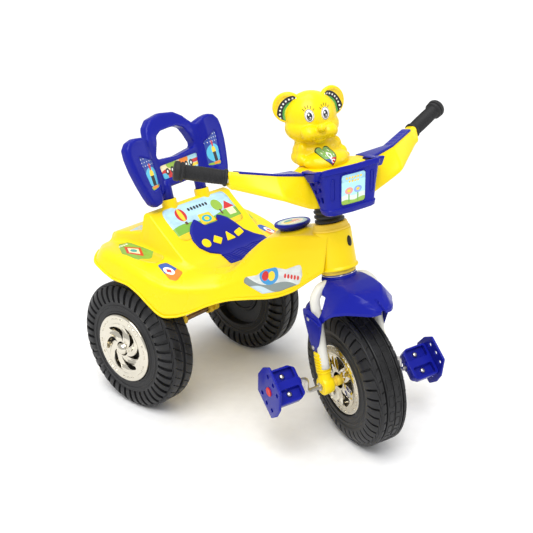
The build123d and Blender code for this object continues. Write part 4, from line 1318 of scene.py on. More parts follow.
def make_basket_tray():
    """Tapered tray, open at the top, with a foot ledge and a rolled rim."""
    rows = [basket_row(*row) for row in BASKET]
    inner = [basket_row(z, f, hf, r, hr, BASKET_INSET) for z, f, hf, r, hr in BASKET[::-1]
             if z > 442]
    inner[-1] = [Vector((p.x, p.y, 443.0)) for p in inner[-1]]
    tray = grid("basket_tray", rows + inner, BLUE, wrap_columns=True, caps=True)
    tools = []
    for sign in (-1, 1):
        for y, z, wide, tall in BASKET_HOLES:
            outline = rounded_box((y - wide / 2, z - tall / 2), (y + wide / 2, z + tall / 2), 1.8)
            tools.append(prism("hole", outline, 42, 76, OPENING_BLACK_AND_SHADE,
                               to_space=lambda a, b, c, sign=sign: (sign * c, a, b)))
    cut(tray, join(tools, "hole_tools"))
    tray.data.transform(STEERED)
    return smooth_by_angle(tray, 40)


def front_wall(x, z, lift=0.0):
    """Point on the tray's front face, and its outward direction."""
    rows = [(row[0], row[1]) for row in BASKET]
    wall = monotone([row[0] for row in rows], [row[1] for row in rows])
    bow = BASKET_BOW * max(0.0, 1 - (x / 44) ** 2)
    return Vector((x, wall(z) - bow - lift, z)), Vector((0, -1, 0))


def make_basket_trim():
    """Raised label frame, two sunk-looking grooves and the hooks that hang on the cover."""
    parts = []
    for x in (-36.0, 36.0):
        loop = [front_wall(x + a, z, 0.2)[0] for a, z in
                rounded_box((-3.2, 466), (3.2, 502), 3.1, 4)]
        parts.append(tube("groove", loop, 0.9, BLUE, STEERED, 8, closed=True))
    frame_line = [front_wall(x, z, 0.1)[0] for x, z in rounded_box((-23, 453.5), (23, 507), 5, 5)]
    parts.append(tube("label_frame", frame_line, 1.0, BLUE, STEERED, 8, closed=True))
    for sign in (-1, 1):
        outline = smooth_outline([(-206, 519), (-180, 511), (-160, 508), (-154, 503), (-160, 500),
                                  (-170, 500), (-178, 494), (-196, 500)], 3)
        hook = soft_prism("hook", outline, 51, 64, 2.5, BLUE, STEERED,
                          to_space=lambda a, b, c, sign=sign: (sign * c, a, b))
        parts.append(hook)
    return join(parts, "basket_trim")


def label_art():
    """Sky and meadow with a sun, two flowers and a row of beads."""
    art = Art("basket_label_art", SKY)
    art.below(0.75, 0.02, shade(SKY, 1.25)).below(0.3, 0.03, (0.75, 0.85, 0.75))
    art.below(0.14, 0.025, LEAF)
    art.dots(6, (0.5, 0.88), (0.36, 0.05), (0.36, 0.8), GOLD)
    art.dots(4, (0.5, 0.76), (0.24, 0.05), (0.36, 0.8), GOLD)
    for u, petal in ((0.3, PINK), (0.68, (0.25, 0.4, 0.8))):
        art.box((u, 0.22), (0.025, 0.16), GREEN)
        art.disc((u, 0.45), (0.17, 0.115), petal).disc((u, 0.45), (0.075, 0.05), GOLD)
    return art.done()


def build_handlebar():
    place_piece(make_handlebar_cover(), "steering", "body_yellow", "handlebar_cover")
    for side, sign in SIDES.items():
        place_piece(make_wing_cover(sign), "steering", "body_blue", f"wing_cover_{side}")
        place_piece(make_grip(sign), "steering", "grip_black", f"grip_{side}")
    place_piece(make_basket_tray(), "steering", "body_blue", "basket")
    place_piece(make_basket_trim(), "steering", "body_blue", "basket")
    label = sticker("basket_label", rounded_box((-21.5, 455), (21.5, 505.5), 5, 5), front_wall,
                    label_art(), STEERED, lift=0.8)
    place_piece(label, "steering", "body_blue", "basket")


build_handlebar()


# ---- bear figure ----
BEAR_BASE = 500.0
BEAR_VOXEL = 1.7
EAR_AT = Vector((37.0, -82.0, 587.0))
EAR_R = 25.0
HEAD_TURN = math.radians(-11.0)      # the head looks a little to the rider's right
HEAD_AT = Vector((0.0, -84.0, 566.0))
# centre (x, y, z) and radii; pieces off the centre line are mirrored
BODY_LOBES = [
    ((0, -100, 507), (46, 35, 20)), ((0, -98, 517), (42, 31, 22)), ((0, -95, 528), (36, 27, 20)),
    ((0, -90, 540), (28, 22, 16)), ((0, -126, 505), (40, 34, 17)),
    ((30, -108, 519), (11, 10, 15)), ((38, -114, 508), (9, 12, 10)), ((31, -131, 506), (12, 8, 7)),
    ((25, -138, 509), (9, 8, 7.5)),
]
HEAD_LOBES = [
    ((0, -84, 568), (44, 40, 41)), ((0, -90, 553), (47, 37, 27)), ((0, -118, 550), (22, 21, 13)),
    ((0, -140, 563), (8, 7.5, 7)), ((0, -126, 540), (11, 9, 6.5)),
    ((16, -125, 552), (15.5, 15, 12.5)), ((33, -79, 580), (9, 8, 9)),
]


def turned(point):
    """Point of the head after its small turn to the side."""
    return HEAD_AT + Matrix.Rotation(HEAD_TURN, 3, "Z") @ (Vector(point) - HEAD_AT)


def ear_space(sign, a, b, depth):
    """Point on an ear: a outward, b up and depth forward of its middle."""
    turn = Matrix.Rotation(math.radians(sign * 18), 3, "Z") @ Matrix.Rotation(
        math.radians(-8), 3, "X")
    offset = turn @ Vector((sign * a, -depth, b))
    return turned(Vector((sign * EAR_AT.x, EAR_AT.y, EAR_AT.z)) + offset)


def make_ears():
    """Two round ears with dished fronts."""
    profile = [(0.02, 2.4), (14, 2.6), (18.6, 3.4), (20.6, 5.4), (22.2, 6.0), (23.8, 4.6),
               (EAR_R, 1.0), (23.2, -3.4), (19.0, -6.4), (10, -7.6), (0.02, -8)]
    ears = []
    for side, sign in SIDES.items():
        rows = []
        for k in range(72):
            angle = 2 * math.pi * k / 72
            rows.append([ear_space(sign, r * math.cos(angle), r * math.sin(angle), s)
                         for r, s in profile])
        ears.append(grid(f"ear_{side}", rows, YELLOW, STEERED, wrap_rows=True))
    return join(ears, "bear_ears")


def make_bear_skin():
    """Torso, arms and head run together into one smooth skin."""
    balls = []
    for lobes, move in ((BODY_LOBES, Vector), (HEAD_LOBES, turned)):
        for centre, radii in lobes:
            for sign in ((1,) if centre[0] == 0 else (-1, 1)):
                place = move((sign * centre[0], centre[1], centre[2]))
                balls.append(ball("lobe", place, radii, YELLOW, segments=40))
    for sign in (-1, 1):
        for finger in range(3):
            place = (sign * (18 - finger * 0.8), -143 + finger * 1.2, 514 - 4.5 * finger)
            balls.append(ball("finger", place, (5.5, 3.6, 2.6), YELLOW, segments=20))
    skin = join(balls, "bear_skin")
    remesh(skin, BEAR_VOXEL, 5)
    for vertex in skin.data.vertices:
        if vertex.co.z < BEAR_BASE * MM:
            vertex.co.z = BEAR_BASE * MM
    return skin


def bear_front(drop, turn=0.0):
    """Function of (x, z) that lands on the front of the figure's skin; turn follows the head."""
    spin = Matrix.Rotation(turn, 3, "Z")

    def on_skin(x, z):
        start = HEAD_AT + spin @ (Vector((x, -250, z)) - HEAD_AT)
        return drop(start, spin @ Vector((0, 1, 0)))
    return on_skin


def eye_art():
    """Round open eye: white, dark iris with a grey lower part and two glints."""
    art = Art("eye_art", (0.85, 0.85, 0.85))
    art.ring((0.5, 0.5), (0.45, 0.47), 0.045, INK)
    art.disc((0.5, 0.44), (0.27, 0.31), (0.25, 0.25, 0.27)).disc((0.5, 0.5), (0.24, 0.25), INK)
    art.ring((0.5, 0.44), (0.27, 0.31), 0.09, INK)
    art.disc((0.42, 0.6), (0.09, 0.09), (0.9, 0.9, 0.9))
    art.disc((0.56, 0.36), (0.07, 0.06), (0.8, 0.8, 0.8))
    return art.done()


def heart_art():
    """Heart in a green, a blue and a red field with pale patches."""
    art = Art("heart_art", (0.22, 0.45, 0.12))
    art.box((0.1, 0.2), (0.42, 0.26), (0.04, 0.08, 0.35)).box((0.78, 0.2), (0.3, 0.3), CRIMSON)
    for u, v, size in ((0.2, 0.72, 0.03), (0.3, 0.62, 0.025), (0.8, 0.8, 0.03), (0.72, 0.68, 0.02),
                       (0.86, 0.62, 0.03), (0.42, 0.78, 0.02)):
        art.disc((u, v), (size, size), WHITE)
    art.ring((0.55, 0.62), (0.12, 0.11), 0.28, WHITE).ring((0.62, 0.3), (0.12, 0.1), 0.25, WHITE)
    art.disc((0.5, 0.45), (0.05, 0.05), WHITE)
    return art.done()


EAR_ART_R = 21.0
BAND_CENTRE = (0.22, 0.24)      # the bands' common centre on the ear sticker
EAR_BANDS = [       # radius and half thickness as parts of the sticker, colour
    (0.60, 0.11, INK), (0.455, 0.040, (0.07, 0.33, 0.05)), (0.375, 0.038, (0.62, 0.70, 0.03)),
    (0.22, 0.030, (0.75, 0.13, 0.01)),
]


def ear_art(sign):
    """Bands across the dished front: black with white dots, green, lime and orange."""
    art = Art(f"ear_band_art_{'left' if sign > 0 else 'right'}", (0.95, 0.66, 0.02))
    for radius, half, colour in EAR_BANDS:
        art.ring(BAND_CENTRE, (radius, radius), half / radius, colour)
    for k in range(9):
        angle = math.radians(-12 + 13.5 * k)
        centre = (BAND_CENTRE[0] + 0.60 * math.cos(angle), BAND_CENTRE[1] + 0.60 * math.sin(angle))
        art.disc(centre, (0.036, 0.036), WHITE)
    return art.done()


def make_ear_band(sign):
    """Round sticker on the ear's dished front."""
    def on_ear(a, b):
        reach = math.hypot(a, b)
        depth = 2.5 + 2.9 * smooth_step(reach, 14, 21)
        return ear_space(sign, a, b, depth), Vector((0, -1, 0))
    outline = arc_points((0, 0), (EAR_ART_R, EAR_ART_R), 0, 354, 59)
    return sticker(f"ear_band_{'left' if sign > 0 else 'right'}", outline, on_ear, ear_art(sign),
                   STEERED)


EYE_AT = (13.5, 579.0)
EYE_SIZE = (7.4, 9.8)
HEART_AT = (-6.0, 517.0)
HEART_SIZE = 12.5


def heart_outline():
    points = []
    for k in range(64):
        a = 2 * math.pi * k / 64
        x = 16 * math.sin(a) ** 3
        z = 13 * math.cos(a) - 5 * math.cos(2 * a) - 2 * math.cos(3 * a) - math.cos(4 * a)
        points.append((HEART_AT[0] + x * HEART_SIZE / 17, HEART_AT[1] + z * HEART_SIZE / 17))
    return points


def make_lashes(on_skin):
    """Short dark strokes fanned above each eye."""
    strokes = []
    for sign in (-1, 1):
        for k in range(5):
            angle = math.radians(90 + (k - 2) * 24)
            path = []
            for reach in (1.16, 1.36, 1.56):
                x = sign * EYE_AT[0] + EYE_SIZE[0] * reach * math.cos(angle)
                z = EYE_AT[1] + EYE_SIZE[1] * reach * math.sin(angle)
                point, normal = on_skin(x, z)
                path.append(point + normal * 0.3)
            strokes.append(tube("lash", path, 0.45, BLACK, STEERED, 6))
    return join(strokes, "bear_lashes")


def make_smile(on_skin):
    """Raised lip line under the two cheeks."""
    path = []
    for k in range(13):
        t = k / 6 - 1
        point, normal = on_skin(15 * t, 541.0 + 5.5 * t * t)
        path.append(point + normal * 0.2)
    return tube("bear_smile", path, 0.8, YELLOW, STEERED, 8)


def build_bear():
    skin = make_bear_skin()
    drop = surface_finder(skin)
    on_chest, on_face = bear_front(drop), bear_front(drop, HEAD_TURN)
    pieces = [make_smile(on_face)]
    lashes = make_lashes(on_face)
    eye = eye_art()
    for sign in (-1, 1):
        centre = (sign * EYE_AT[0], EYE_AT[1])
        outline = arc_points(centre, EYE_SIZE, 0, 352, 44)
        side = "left" if sign > 0 else "right"
        place_piece(sticker(f"bear_eye_{side}", outline, on_face, eye, STEERED), "steering",
                    "body_yellow", "bear_figure")
    border = [(HEART_AT[0] + (x - HEART_AT[0]) * 1.12, HEART_AT[1] + (z - HEART_AT[1]) * 1.12)
              for x, z in heart_outline()]
    place_piece(sticker("bear_heart_border", border, on_chest, BLACK, STEERED, lift=0.3),
                "steering", "body_yellow", "bear_figure")
    place_piece(sticker("bear_heart", heart_outline(), on_chest, heart_art(), STEERED, lift=0.6),
                "steering", "body_yellow", "bear_figure")
    skin.data.transform(STEERED)
    for piece in [skin, make_ears(), lashes] + pieces:
        place_piece(piece, "steering", "body_yellow", "bear_figure")
    for sign in (-1, 1):
        place_piece(make_ear_band(sign), "steering", "body_yellow", "bear_figure")


build_bear()


# ---- mudguard ----
# y, crown z, shoulder (x, z), lip (x, z)
GUARD = [
    (-287, 297.0, (2, 296.8), (4, 295.5)), (-286.3, 297.6, (5, 297.2), (9, 295)),
    (-284, 299.0, (10, 298.3), (16, 294)), (-281, 300.5, (14, 299.6), (20, 293.5)),
    (-276, 302.0, (18, 301), (25, 293)), (-268, 304.5, (22, 302), (31, 292)),
    (-258, 309.0, (26, 303), (37, 290)), (-248, 313.0, (31, 304), (43, 288)),
    (-238, 315.0, (36, 305), (50, 285)),
    (-226, 315.5, (38, 306), (57, 280)), (-210, 316.0, (40, 305), (62, 268)),
    (-197, 315.0, (42, 303), (66, 254)), (-182, 313.5, (43, 300), (69, 247)),
    (-168, 310.0, (44, 296), (70, 246)), (-156, 303.0, (44, 290), (69, 248)),
    (-146, 294.0, (42, 282), (66, 254)), (-134, 280.0, (38, 270), (56, 256)),
]
GUARD_WALL = 2.4
GUARD_RING_R = 29.0
STRAP_OUTLINE = [(-206, 256), (-196, 262), (-160, 264), (-146, 260), (-146, 248), (-150, 232),
                 (-156, 208), (-162, 190), (-169, 181), (-177, 181), (-183, 192), (-190, 208),
                 (-200, 234)]
SLOT_OUTLINE = [(-188, 249), (-191, 268), (-187, 290), (-179, 302), (-171, 298), (-166, 284),
                (-168, 262), (-176, 249)]
GUARD_SCREWS = [(-163, 246), (-170, 192)]
STRAP_X = 68.6


def guard_row(y, crown, shoulder, lip):
    """Half section spread into rows: raised centre facet, shoulder, flared lip."""
    facet_x = max(5.0, min(30.0, (y + 268) * 0.55 + 12)) if y > -262 else shoulder[0] * 0.55
    top_z = crown - (0.5 if y > -262 else 0.0)
    half = [(0, crown), (facet_x, top_z), shoulder, lip, (lip[0] + 0.4, lip[1] - 5.0)]
    points = [Vector((-x, y, z)) for x, z in reversed(half)] + [Vector((x, y, z)) for x, z in
                                                               half[1:]]
    scale = min(1.0, lip[0] / 60)
    return rounded(points, [radius * scale for radius in (2, 9, 12, 7, 40, 7, 12, 9, 2)], 5, 3)


def guard_stations():
    """Smoothly interpolated sections from the nose to the back."""
    ys = [row[0] for row in GUARD]
    curves = [monotone(ys, [row[1] for row in GUARD])]
    for index in (2, 3):
        curves += [monotone(ys, [row[index][axis] for row in GUARD]) for axis in (0, 1)]
    count = 64
    for k in range(count + 1):
        y = ys[0] + (ys[-1] - ys[0]) * (k / count) ** 1.15
        crown, sx, sz, lx, lz = (curve(y) for curve in curves)
        yield guard_row(y, crown, (sx, sz), (lx, lz))


def make_guard_hood():
    hood = grid("mudguard_hood", list(guard_stations()), BLUE)
    if hood.data.polygons[len(hood.data.polygons) // 2].normal.z < 0:
        hood.data.flip_normals()
    modify(hood, "SOLIDIFY", thickness=GUARD_WALL * MM, offset=-1.0)
    for sign in (-1, 1):
        outline = smooth_outline(SLOT_OUTLINE, 8, 5, 3)
        cut(hood, prism("slot", outline, 46, 90, BLUE,
                        to_space=lambda a, b, c, sign=sign: (sign * c, a, b)))
    hood.data.transform(STEERED)
    return smooth_by_angle(hood, 45)


def make_guard_collar():
    """Ring under the steering head that the hood hangs from."""
    profile = [(15, 183), (GUARD_RING_R + 3, 180), (GUARD_RING_R + 1, 188), (GUARD_RING_R, 192),
               (GUARD_RING_R - 3, 193.5), (15, 193.5)]
    return on_axis("mudguard_collar", fillet_profile(profile, 2.0), BLUE, STEERED)


def make_guard_straps():
    """Straps outside the fork legs, each with a pocket rim across it."""
    parts = []
    for sign in (-1, 1):
        outline = smooth_outline(STRAP_OUTLINE, 7, 5, 3)
        to_space = lambda a, b, c, sign=sign: (sign * (c - 0.055 * max(0.0, 258 - b)
                                                       * (1 if c > 69 else 0.6)), a, b)
        parts.append(soft_prism("strap", outline, STRAP_X - 1.6, STRAP_X + 1.8, 1.3, BLUE, STEERED,
                                to_space=to_space))
        rim = [(sign * (STRAP_X + 2.2), -204 + 50 * k / 8, 250 + 2.5 * math.sin(math.pi * k / 8))
               for k in range(9)]
        parts.append(tube("strap_rim", rim, 1.5, BLUE, STEERED, 10))
    return join(parts, "mudguard_straps")


def make_guard_screws():
    screws = []
    for sign in (-1, 1):
        for y, z in GUARD_SCREWS:
            face = STRAP_X + 1.2 - 0.05 * max(0.0, 258 - z)
            profile = [(0.02, face), (3.8, face), (3.6, face + 1.2), (2.2, face + 2.2),
                       (0.02, face + 2.5)]
            screws.append(lathe("screw", profile, (0, y, z), (sign, 0, 0), STEEL, STEERED, 24))
    return join(screws, "mudguard_screw_heads")


# ---- fork and knuckles ----
LEG_R = 8.6
LEG_X = 58.5


def leg_centre(sign):
    """Centreline of one leg, from inside the crown to its foot."""
    foot = Vector((sign * LEG_X, -192.0, FRONT_HUB.z + 34))
    knee = Vector((sign * LEG_X, -168.0, 284.0))
    crown = Vector((sign * 20, -160.0, 299.0))
    return rounded([crown, Vector((sign * 44, -163.0, 297.0)), knee, foot], [0, 16, 40, 0], 10, 10)


def make_fork_legs():
    legs = [tube(f"leg_{side}", leg_centre(sign), LEG_R, FORK_WHITE, STEERED, 28)
            for side, sign in SIDES.items()]
    return join(legs, "fork_legs")


def make_fork_crown():
    profile = [(0.02, 171), (24, 171), (26, 173), (26, 184), (24, 186), (0.02, 186)]
    return on_axis("fork_crown", profile, FORK_WHITE, STEERED)


KNUCKLE_X = 58.5
KNUCKLE_RIBS = 6


def make_knuckle(sign):
    """Ribbed sleeve on the leg's foot with a round boss for the axle."""
    up = (leg_centre(sign)[-2] - leg_centre(sign)[-1]).normalized()
    foot = Vector((sign * KNUCKLE_X, -192.0, FRONT_HUB.z))
    profile = [(0.02, 0), (11.6, 0), (11.6, 24)]
    for rib in range(KNUCKLE_RIBS):
        base = 24.5 + rib * 5.4
        profile += [(11.2, base), (12.9, base + 0.6), (13.0, base + 3.4), (11.4, base + 4.2)]
    profile += [(12.4, 57.5), (12.6, 61.5), (11.6, 62.6), (8.0, 62.6)]
    sleeve = lathe("sleeve", profile, foot, up, YELLOW, STEERED, 64)
    boss_profile = [(0.02, 47.5), (13.5, 47.5), (15.0, 49), (16.2, 52), (16.6, 66.5), (15.4, 68.2),
                    (13.6, 68.6), (13.0, 67.8), (8.6, 67.8), (8.0, 68.6), (0.02, 68.6)]
    boss = lathe("boss", boss_profile, (0, -192.0, FRONT_HUB.z), (sign, 0, 0), YELLOW, STEERED, 64)
    side = "left" if sign > 0 else "right"
    return smooth_by_angle(join([sleeve, boss], f"knuckle_{side}_moulding"), 40)


# ---- steering head ----
def make_bellows():
    """Black ribbed collar between the body and the handlebar."""
    profile = [(15, 270)]
    for ring in range(5):
        base = 279 + ring * 8.2
        profile += [(21.4, base), (25.2 - 0.4 * ring, base + 2), (25.4 - 0.4 * ring, base + 5.4),
                    (21.6, base + 7.4)]
    profile += [(15, 320), (15, 270)]
    return on_axis("bellows_collar", profile, BLACK, STEERED)


def make_upper_bush():
    """Pale flanged bush on top of the body's column, with fine ribs."""
    profile = [(20, 266.5), (31.5, 266.5), (32.4, 268.5), (31, 270.5), (29.5, 271.5),
               (29.8, 274), (28.4, 275.5), (28.6, 277.5), (27, 279), (16, 279.4), (16, 266.5)]
    return on_axis("upper_bush_flange", profile + profile[:1], PALE_YELLOW)


def make_lower_bush():
    """Pale flanged bush seen under the column."""
    profile = [(15, 191.5), (27.5, 191.5), (29.8, 193), (29.8, 195), (28.4, 196), (30.2, 197.2),
               (30.2, 199.4), (28.8, 200.4), (30.6, 201.4), (30.4, 204), (15, 204)]
    return on_axis("lower_bush_flange", profile + profile[:1], PALE_YELLOW)


def make_head_ring():
    """Chromed ring between the hood's collar and the lower bush."""
    profile = [(15, 188.6), (27.6, 188.6), (29.2, 189.4), (29.6, 190.6), (28.4, 191.8), (15, 192)]
    return on_axis("steering_ring_chrome", profile + profile[:1], CHROME, STEERED)


def make_plug():
    """Oval domed plug in the column's front."""
    centre = axis_point(246, 0, -HEAD_R)
    across = Vector((1, 0, 0))
    rows = []
    for radius, out in ((0.02, 2.6), (0.5, 2.5), (0.8, 2.0), (0.95, 1.2), (1.0, 0.2), (1.0, -3.0)):
        rows.append([centre + across * (4.8 * radius * math.cos(a))
                     + AXIS_DIR * (9.0 * radius * math.sin(a))
                     + Vector((0, -out - 0.6 + 0.35 * abs(math.cos(a)) * radius, 0))
                     for a in (2 * math.pi * k / 40 for k in range(40))])
    return grid("head_plug_dome", rows, BLACK, wrap_columns=True)


# ---- tank cap ----
CAP_AT = Vector((0.0, -52.0, 372.2))
CAP_TILT = math.radians(12.0)
CAP_UP = Vector((0, math.sin(CAP_TILT), math.cos(CAP_TILT)))


def make_tank_cap():
    profile = [(24, -6), (28, -2), (31.0, 0.0), (32.0, 1.6), (32.0, 4.2), (31.0, 5.8), (29.0, 6.3),
               (27.4, 5.9), (26.8, 5.2), (0.02, 5.2)]
    return smooth_by_angle(lathe("tank_cap_lid", profile, CAP_AT, CAP_UP, BLUE), 60)


def on_cap(a, b):
    """Point and upward direction on the cap's flat middle."""
    forward = Vector((0, math.cos(CAP_TILT), -math.sin(CAP_TILT)))
    return CAP_AT + Vector((a, 0, 0)) + forward * b + CAP_UP * 5.2, CAP_UP


def cap_art():
    """Pale disc with a gold ring and a few plain spots."""
    art = Art("tank_cap_art", (0.45, 0.62, 0.62))
    art.disc((0.5, 0.5), (0.4, 0.36), CREAM).disc((0.34, 0.5), (0.16, 0.2), GOLD)
    art.disc((0.62, 0.46), (0.18, 0.2), (0.8, 0.35, 0.25)).disc((0.5, 0.68), (0.2, 0.1), TEAL)
    art.dots(5, (0.5, 0.36), (0.3, 0.08), (0.35, 0.8), WHITE)
    return art.done()


def build_front():
    """Place every piece of the steering head, fork, mudguard and tank cap."""
    for piece, body, slot, node in (
            (make_guard_hood(), "steering", "body_blue", "mudguard"),
            (make_guard_collar(), "steering", "body_blue", "mudguard"),
            (make_guard_straps(), "steering", "body_blue", "mudguard"),
            (make_guard_screws(), "steering", "zinc_steel", "mudguard_screws"),
            (make_fork_legs(), "steering", "fork_white", "fork"),
            (make_fork_crown(), "steering", "fork_white", "fork"),
            (make_knuckle(-1), "steering", "body_yellow", "knuckle_right"),
            (make_knuckle(1), "steering", "body_yellow", "knuckle_left"),
            (make_bellows(), "steering", "black_plastic", "stem_collar"),
            (make_upper_bush(), "frame", "bush_yellow", "head_bush_upper"),
            (make_lower_bush(), "frame", "bush_yellow", "head_bush_lower"),
            (make_head_ring(), "steering", "chrome", "steering_ring"),
            (make_plug(), "frame", "black_plastic", "head_plug"),
            (make_tank_cap(), "frame", "body_blue", "tank_cap")):
        place_piece(piece, body, slot, node)
    art = sticker("tank_cap_art", arc_points((0, 0), (26, 26), 0, 355, 71), on_cap, cap_art())
    place_piece(art, "frame", "body_blue", "tank_cap")


build_front()


# ---- seat insert ----
SEAT_OUTLINE = [(-12, 150), (-22, 163), (-26, 166), (-42, 158), (-54, 148), (-60, 135), (-58, 120),
                (-44, 106), (-33, 100), (-25, 95), (-36, 72), (-48, 49), (-10, 44), (40, 44),
                (75, 58), (92, 80), (97, 97), (80, 110), (66, 122), (60, 135), (50, 150),
                (38, 158), (29, 161), (24, 150)]
SEAT_LIFT = 2.4
PATCH_LIFT = 1.0
RIB_PITCH = 7.0
RIB_WAVE = 2.2
YELLOW_PRINT = (0.90, 0.62, 0.02)


def on_top(x, y):
    """Point and normal on the body under a place seen from above."""
    return drop_on_body((x, y, 420), (0, 0, -1))


def make_seat_skin():
    """The insert itself, laid over the wedge and the pan."""
    outline = smooth_outline(SEAT_OUTLINE, 5, 5, 3)
    return sticker("seat_insert_skin", outline, on_top, SEAT_BLUE, lift=SEAT_LIFT)


def make_seat_ribs():
    """Wavy ribs across the insert's front tongue."""
    ribs = []
    y = 52.0
    while y < 94:
        half_low, half_high = -44 + 0.35 * (y - 49), 62 + 0.55 * (y - 49)
        path = []
        for k in range(45):
            x = half_low + (half_high - half_low) * k / 44
            point, normal = on_top(x, y + RIB_WAVE * math.sin(x / 6.5))
            path.append(point + normal * SEAT_LIFT)
        ribs.append(tube("rib", path, 1.1, SEAT_BLUE, segments=8))
        y += RIB_PITCH
    return join(ribs, "seat_insert_ribs")


def make_seat_shapes():
    """Four plain raised shapes across the insert: disc, diamond, triangle and bar."""
    shapes = [
        arc_points((-38, 122), (9.5, 7.5), 0, 345, 23),
        smooth_outline([(-22, 120), (-10, 112), (3, 120), (-10, 129)], 1.5, 4, 4),
        smooth_outline([(10, 113), (33, 113), (21, 129)], 1.5, 4, 4),
        smooth_outline([(40, 113), (60, 117), (58, 127), (38, 123)], 2.5, 4, 4),
    ]
    pieces = [sticker("shape", outline, on_top, YELLOW, lift=SEAT_LIFT + 1.2)
              for outline in shapes]
    return join(pieces, "seat_insert_shapes")


def make_ear_patch():
    """Small yellow sticker between the two points of the insert."""
    art = Art("seat_patch_art", (0.86, 0.62, 0.02))
    art.disc((0.5, 0.45), (0.34, 0.34), (0.02, 0.42, 0.55))
    art.disc((0.5, 0.45), (0.16, 0.18), YELLOW_PRINT)
    outline = smooth_outline([(-14, 152), (24, 152), (20, 170), (-10, 171)], 3, 4, 5)
    return sticker("seat_patch", outline, on_top, art.done(), lift=PATCH_LIFT)


for piece in (make_seat_skin(), make_seat_ribs(), make_seat_shapes()):
    place_piece(piece, "frame", "seat_blue", "seat_insert")
place_piece(make_ear_patch(), "frame", "body_yellow", "body_shell")


# ---- stickers on the body ----
def wedge_art():
    """Countryside: sky, hills, balloon, tree and house, with dots where words would be."""
    art = Art("wedge_art", (0.45, 0.70, 0.85))
    art.below(0.42, 0.05, (0.20, 0.45, 0.05)).below(0.18, 0.03, (0.85, 0.60, 0.02), 6.0)
    art.disc((0.22, 0.72), (0.07, 0.19), CRIMSON).disc((0.22, 0.72), (0.03, 0.19), GOLD)
    art.box((0.22, 0.46), (0.018, 0.045), BROWN)
    art.disc((0.76, 0.66), (0.075, 0.18), LEAF).box((0.76, 0.44), (0.012, 0.08), BROWN)
    art.box((0.90, 0.38), (0.055, 0.12), CREAM).roof((0.90, 0.72), 0.085, 0.24, CRIMSON)
    art.dots(7, (0.50, 0.80), (0.16, 0.08), (0.36, 0.6), INK)
    art.dots(10, (0.45, 0.27), (0.25, 0.05), (0.36, 0.8), CRIMSON)
    return art.done()


def side_art(side):
    """Pale landscape with a blue disc and red dashes."""
    art = Art(f"side_art_{side}", (0.66, 0.70, 0.68))
    art.below(0.36, 0.10, (0.23, 0.28, 0.27), 7.0).below(0.16, 0.05, (0.55, 0.68, 0.75), 11.0)
    art.disc((0.58, 0.58), (0.17, 0.30), (0.05, 0.30, 0.62))
    art.disc((0.53, 0.55), (0.06, 0.14), GOLD).disc((0.64, 0.52), (0.06, 0.14), CRIMSON)
    art.dots(5, (0.18, 0.62), (0.14, 0.10), (0.36, 0.7), (0.62, 0.03, 0.02))
    art.dots(4, (0.86, 0.74), (0.10, 0.09), (0.36, 0.7), (0.62, 0.03, 0.02))
    return art.done()


def fender_art(side):
    """Green field with a framed diamond."""
    art = Art(f"fender_art_{side}", (0.24, 0.45, 0.06))
    art.below(0.22, 0.05, (0.80, 0.55, 0.02), 8.0)
    art.diamond((0.5, 0.56), (0.36, 0.26), (0.62, 0.05, 0.02))
    art.diamond((0.5, 0.56), (0.24, 0.17), CREAM).disc((0.5, 0.56), (0.12, 0.07), TEAL)
    art.dots(5, (0.5, 0.88), (0.32, 0.04), (0.36, 0.8), WHITE)
    return art.done()


def square_art(side):
    """Blue and orange field with a white disc."""
    art = Art(f"square_art_{side}", (0.02, 0.10, 0.45))
    art.below(0.45, 0.06, (0.80, 0.22, 0.01), 6.0)
    art.disc((0.5, 0.52), (0.26, 0.24), WHITE).diamond((0.5, 0.52), (0.15, 0.14), CRIMSON)
    return art.done()


def trunk_art():
    """Pale field with a blue disc."""
    art = Art("trunk_art", (0.62, 0.66, 0.60))
    art.disc((0.5, 0.5), (0.30, 0.28), SKY).disc((0.5, 0.5), (0.14, 0.14), GOLD)
    return art.done()


WEDGE_LABEL = ((-82, 138), (90, 196))
FENDER_LABEL = [(-146, 241), (-132, 257), (-121, 247), (-120, 212), (-115, 150), (-139, 150),
                (-147, 161), (-157, 185), (-162, 215)]
SQUARE_LABEL = [(-141, 145), (-124, 139), (-123, 98), (-147, 89), (-153, 101)]
SIDE_LABEL = [(-16, 281), (-16, 290), (-37, 297), (-46, 307), (-65, 315), (-85, 315), (-110, 329),
              (-114, 310), (-111, 294), (-95, 285), (-80, 276), (-51, 267)]
TRUNK_LABEL = [(-114, 249), (-64, 261), (-97, 223)]


def label_parts():
    """Every sticker on the body shell."""
    yield sticker("wedge_label", rounded_box(*WEDGE_LABEL, 14), on_top, wedge_art(), lift=0.5)
    yield sticker("trunk_label", smooth_outline(TRUNK_LABEL, 6, 5, 6), on_top, trunk_art())
    for side, sign in SIDES.items():
        for name, corners, art in (("fender", FENDER_LABEL, fender_art),
                                   ("square", SQUARE_LABEL, square_art)):
            outline = smooth_outline([(-sign * x, y) for x, y in corners], 6, 5, 6)
            yield sticker(f"{name}_label_{side}", outline, on_top, art(side))
        outline = smooth_outline(SIDE_LABEL, 6, 5, 4)
        flank = lambda y, z, sign=sign: drop_on_body((sign * 300, y, z), (-sign, 0, 0))
        yield sticker(f"side_label_{side}", outline, flank, side_art(side))


for label in label_parts():
    place_piece(label, "frame", "body_yellow", "body_shell")


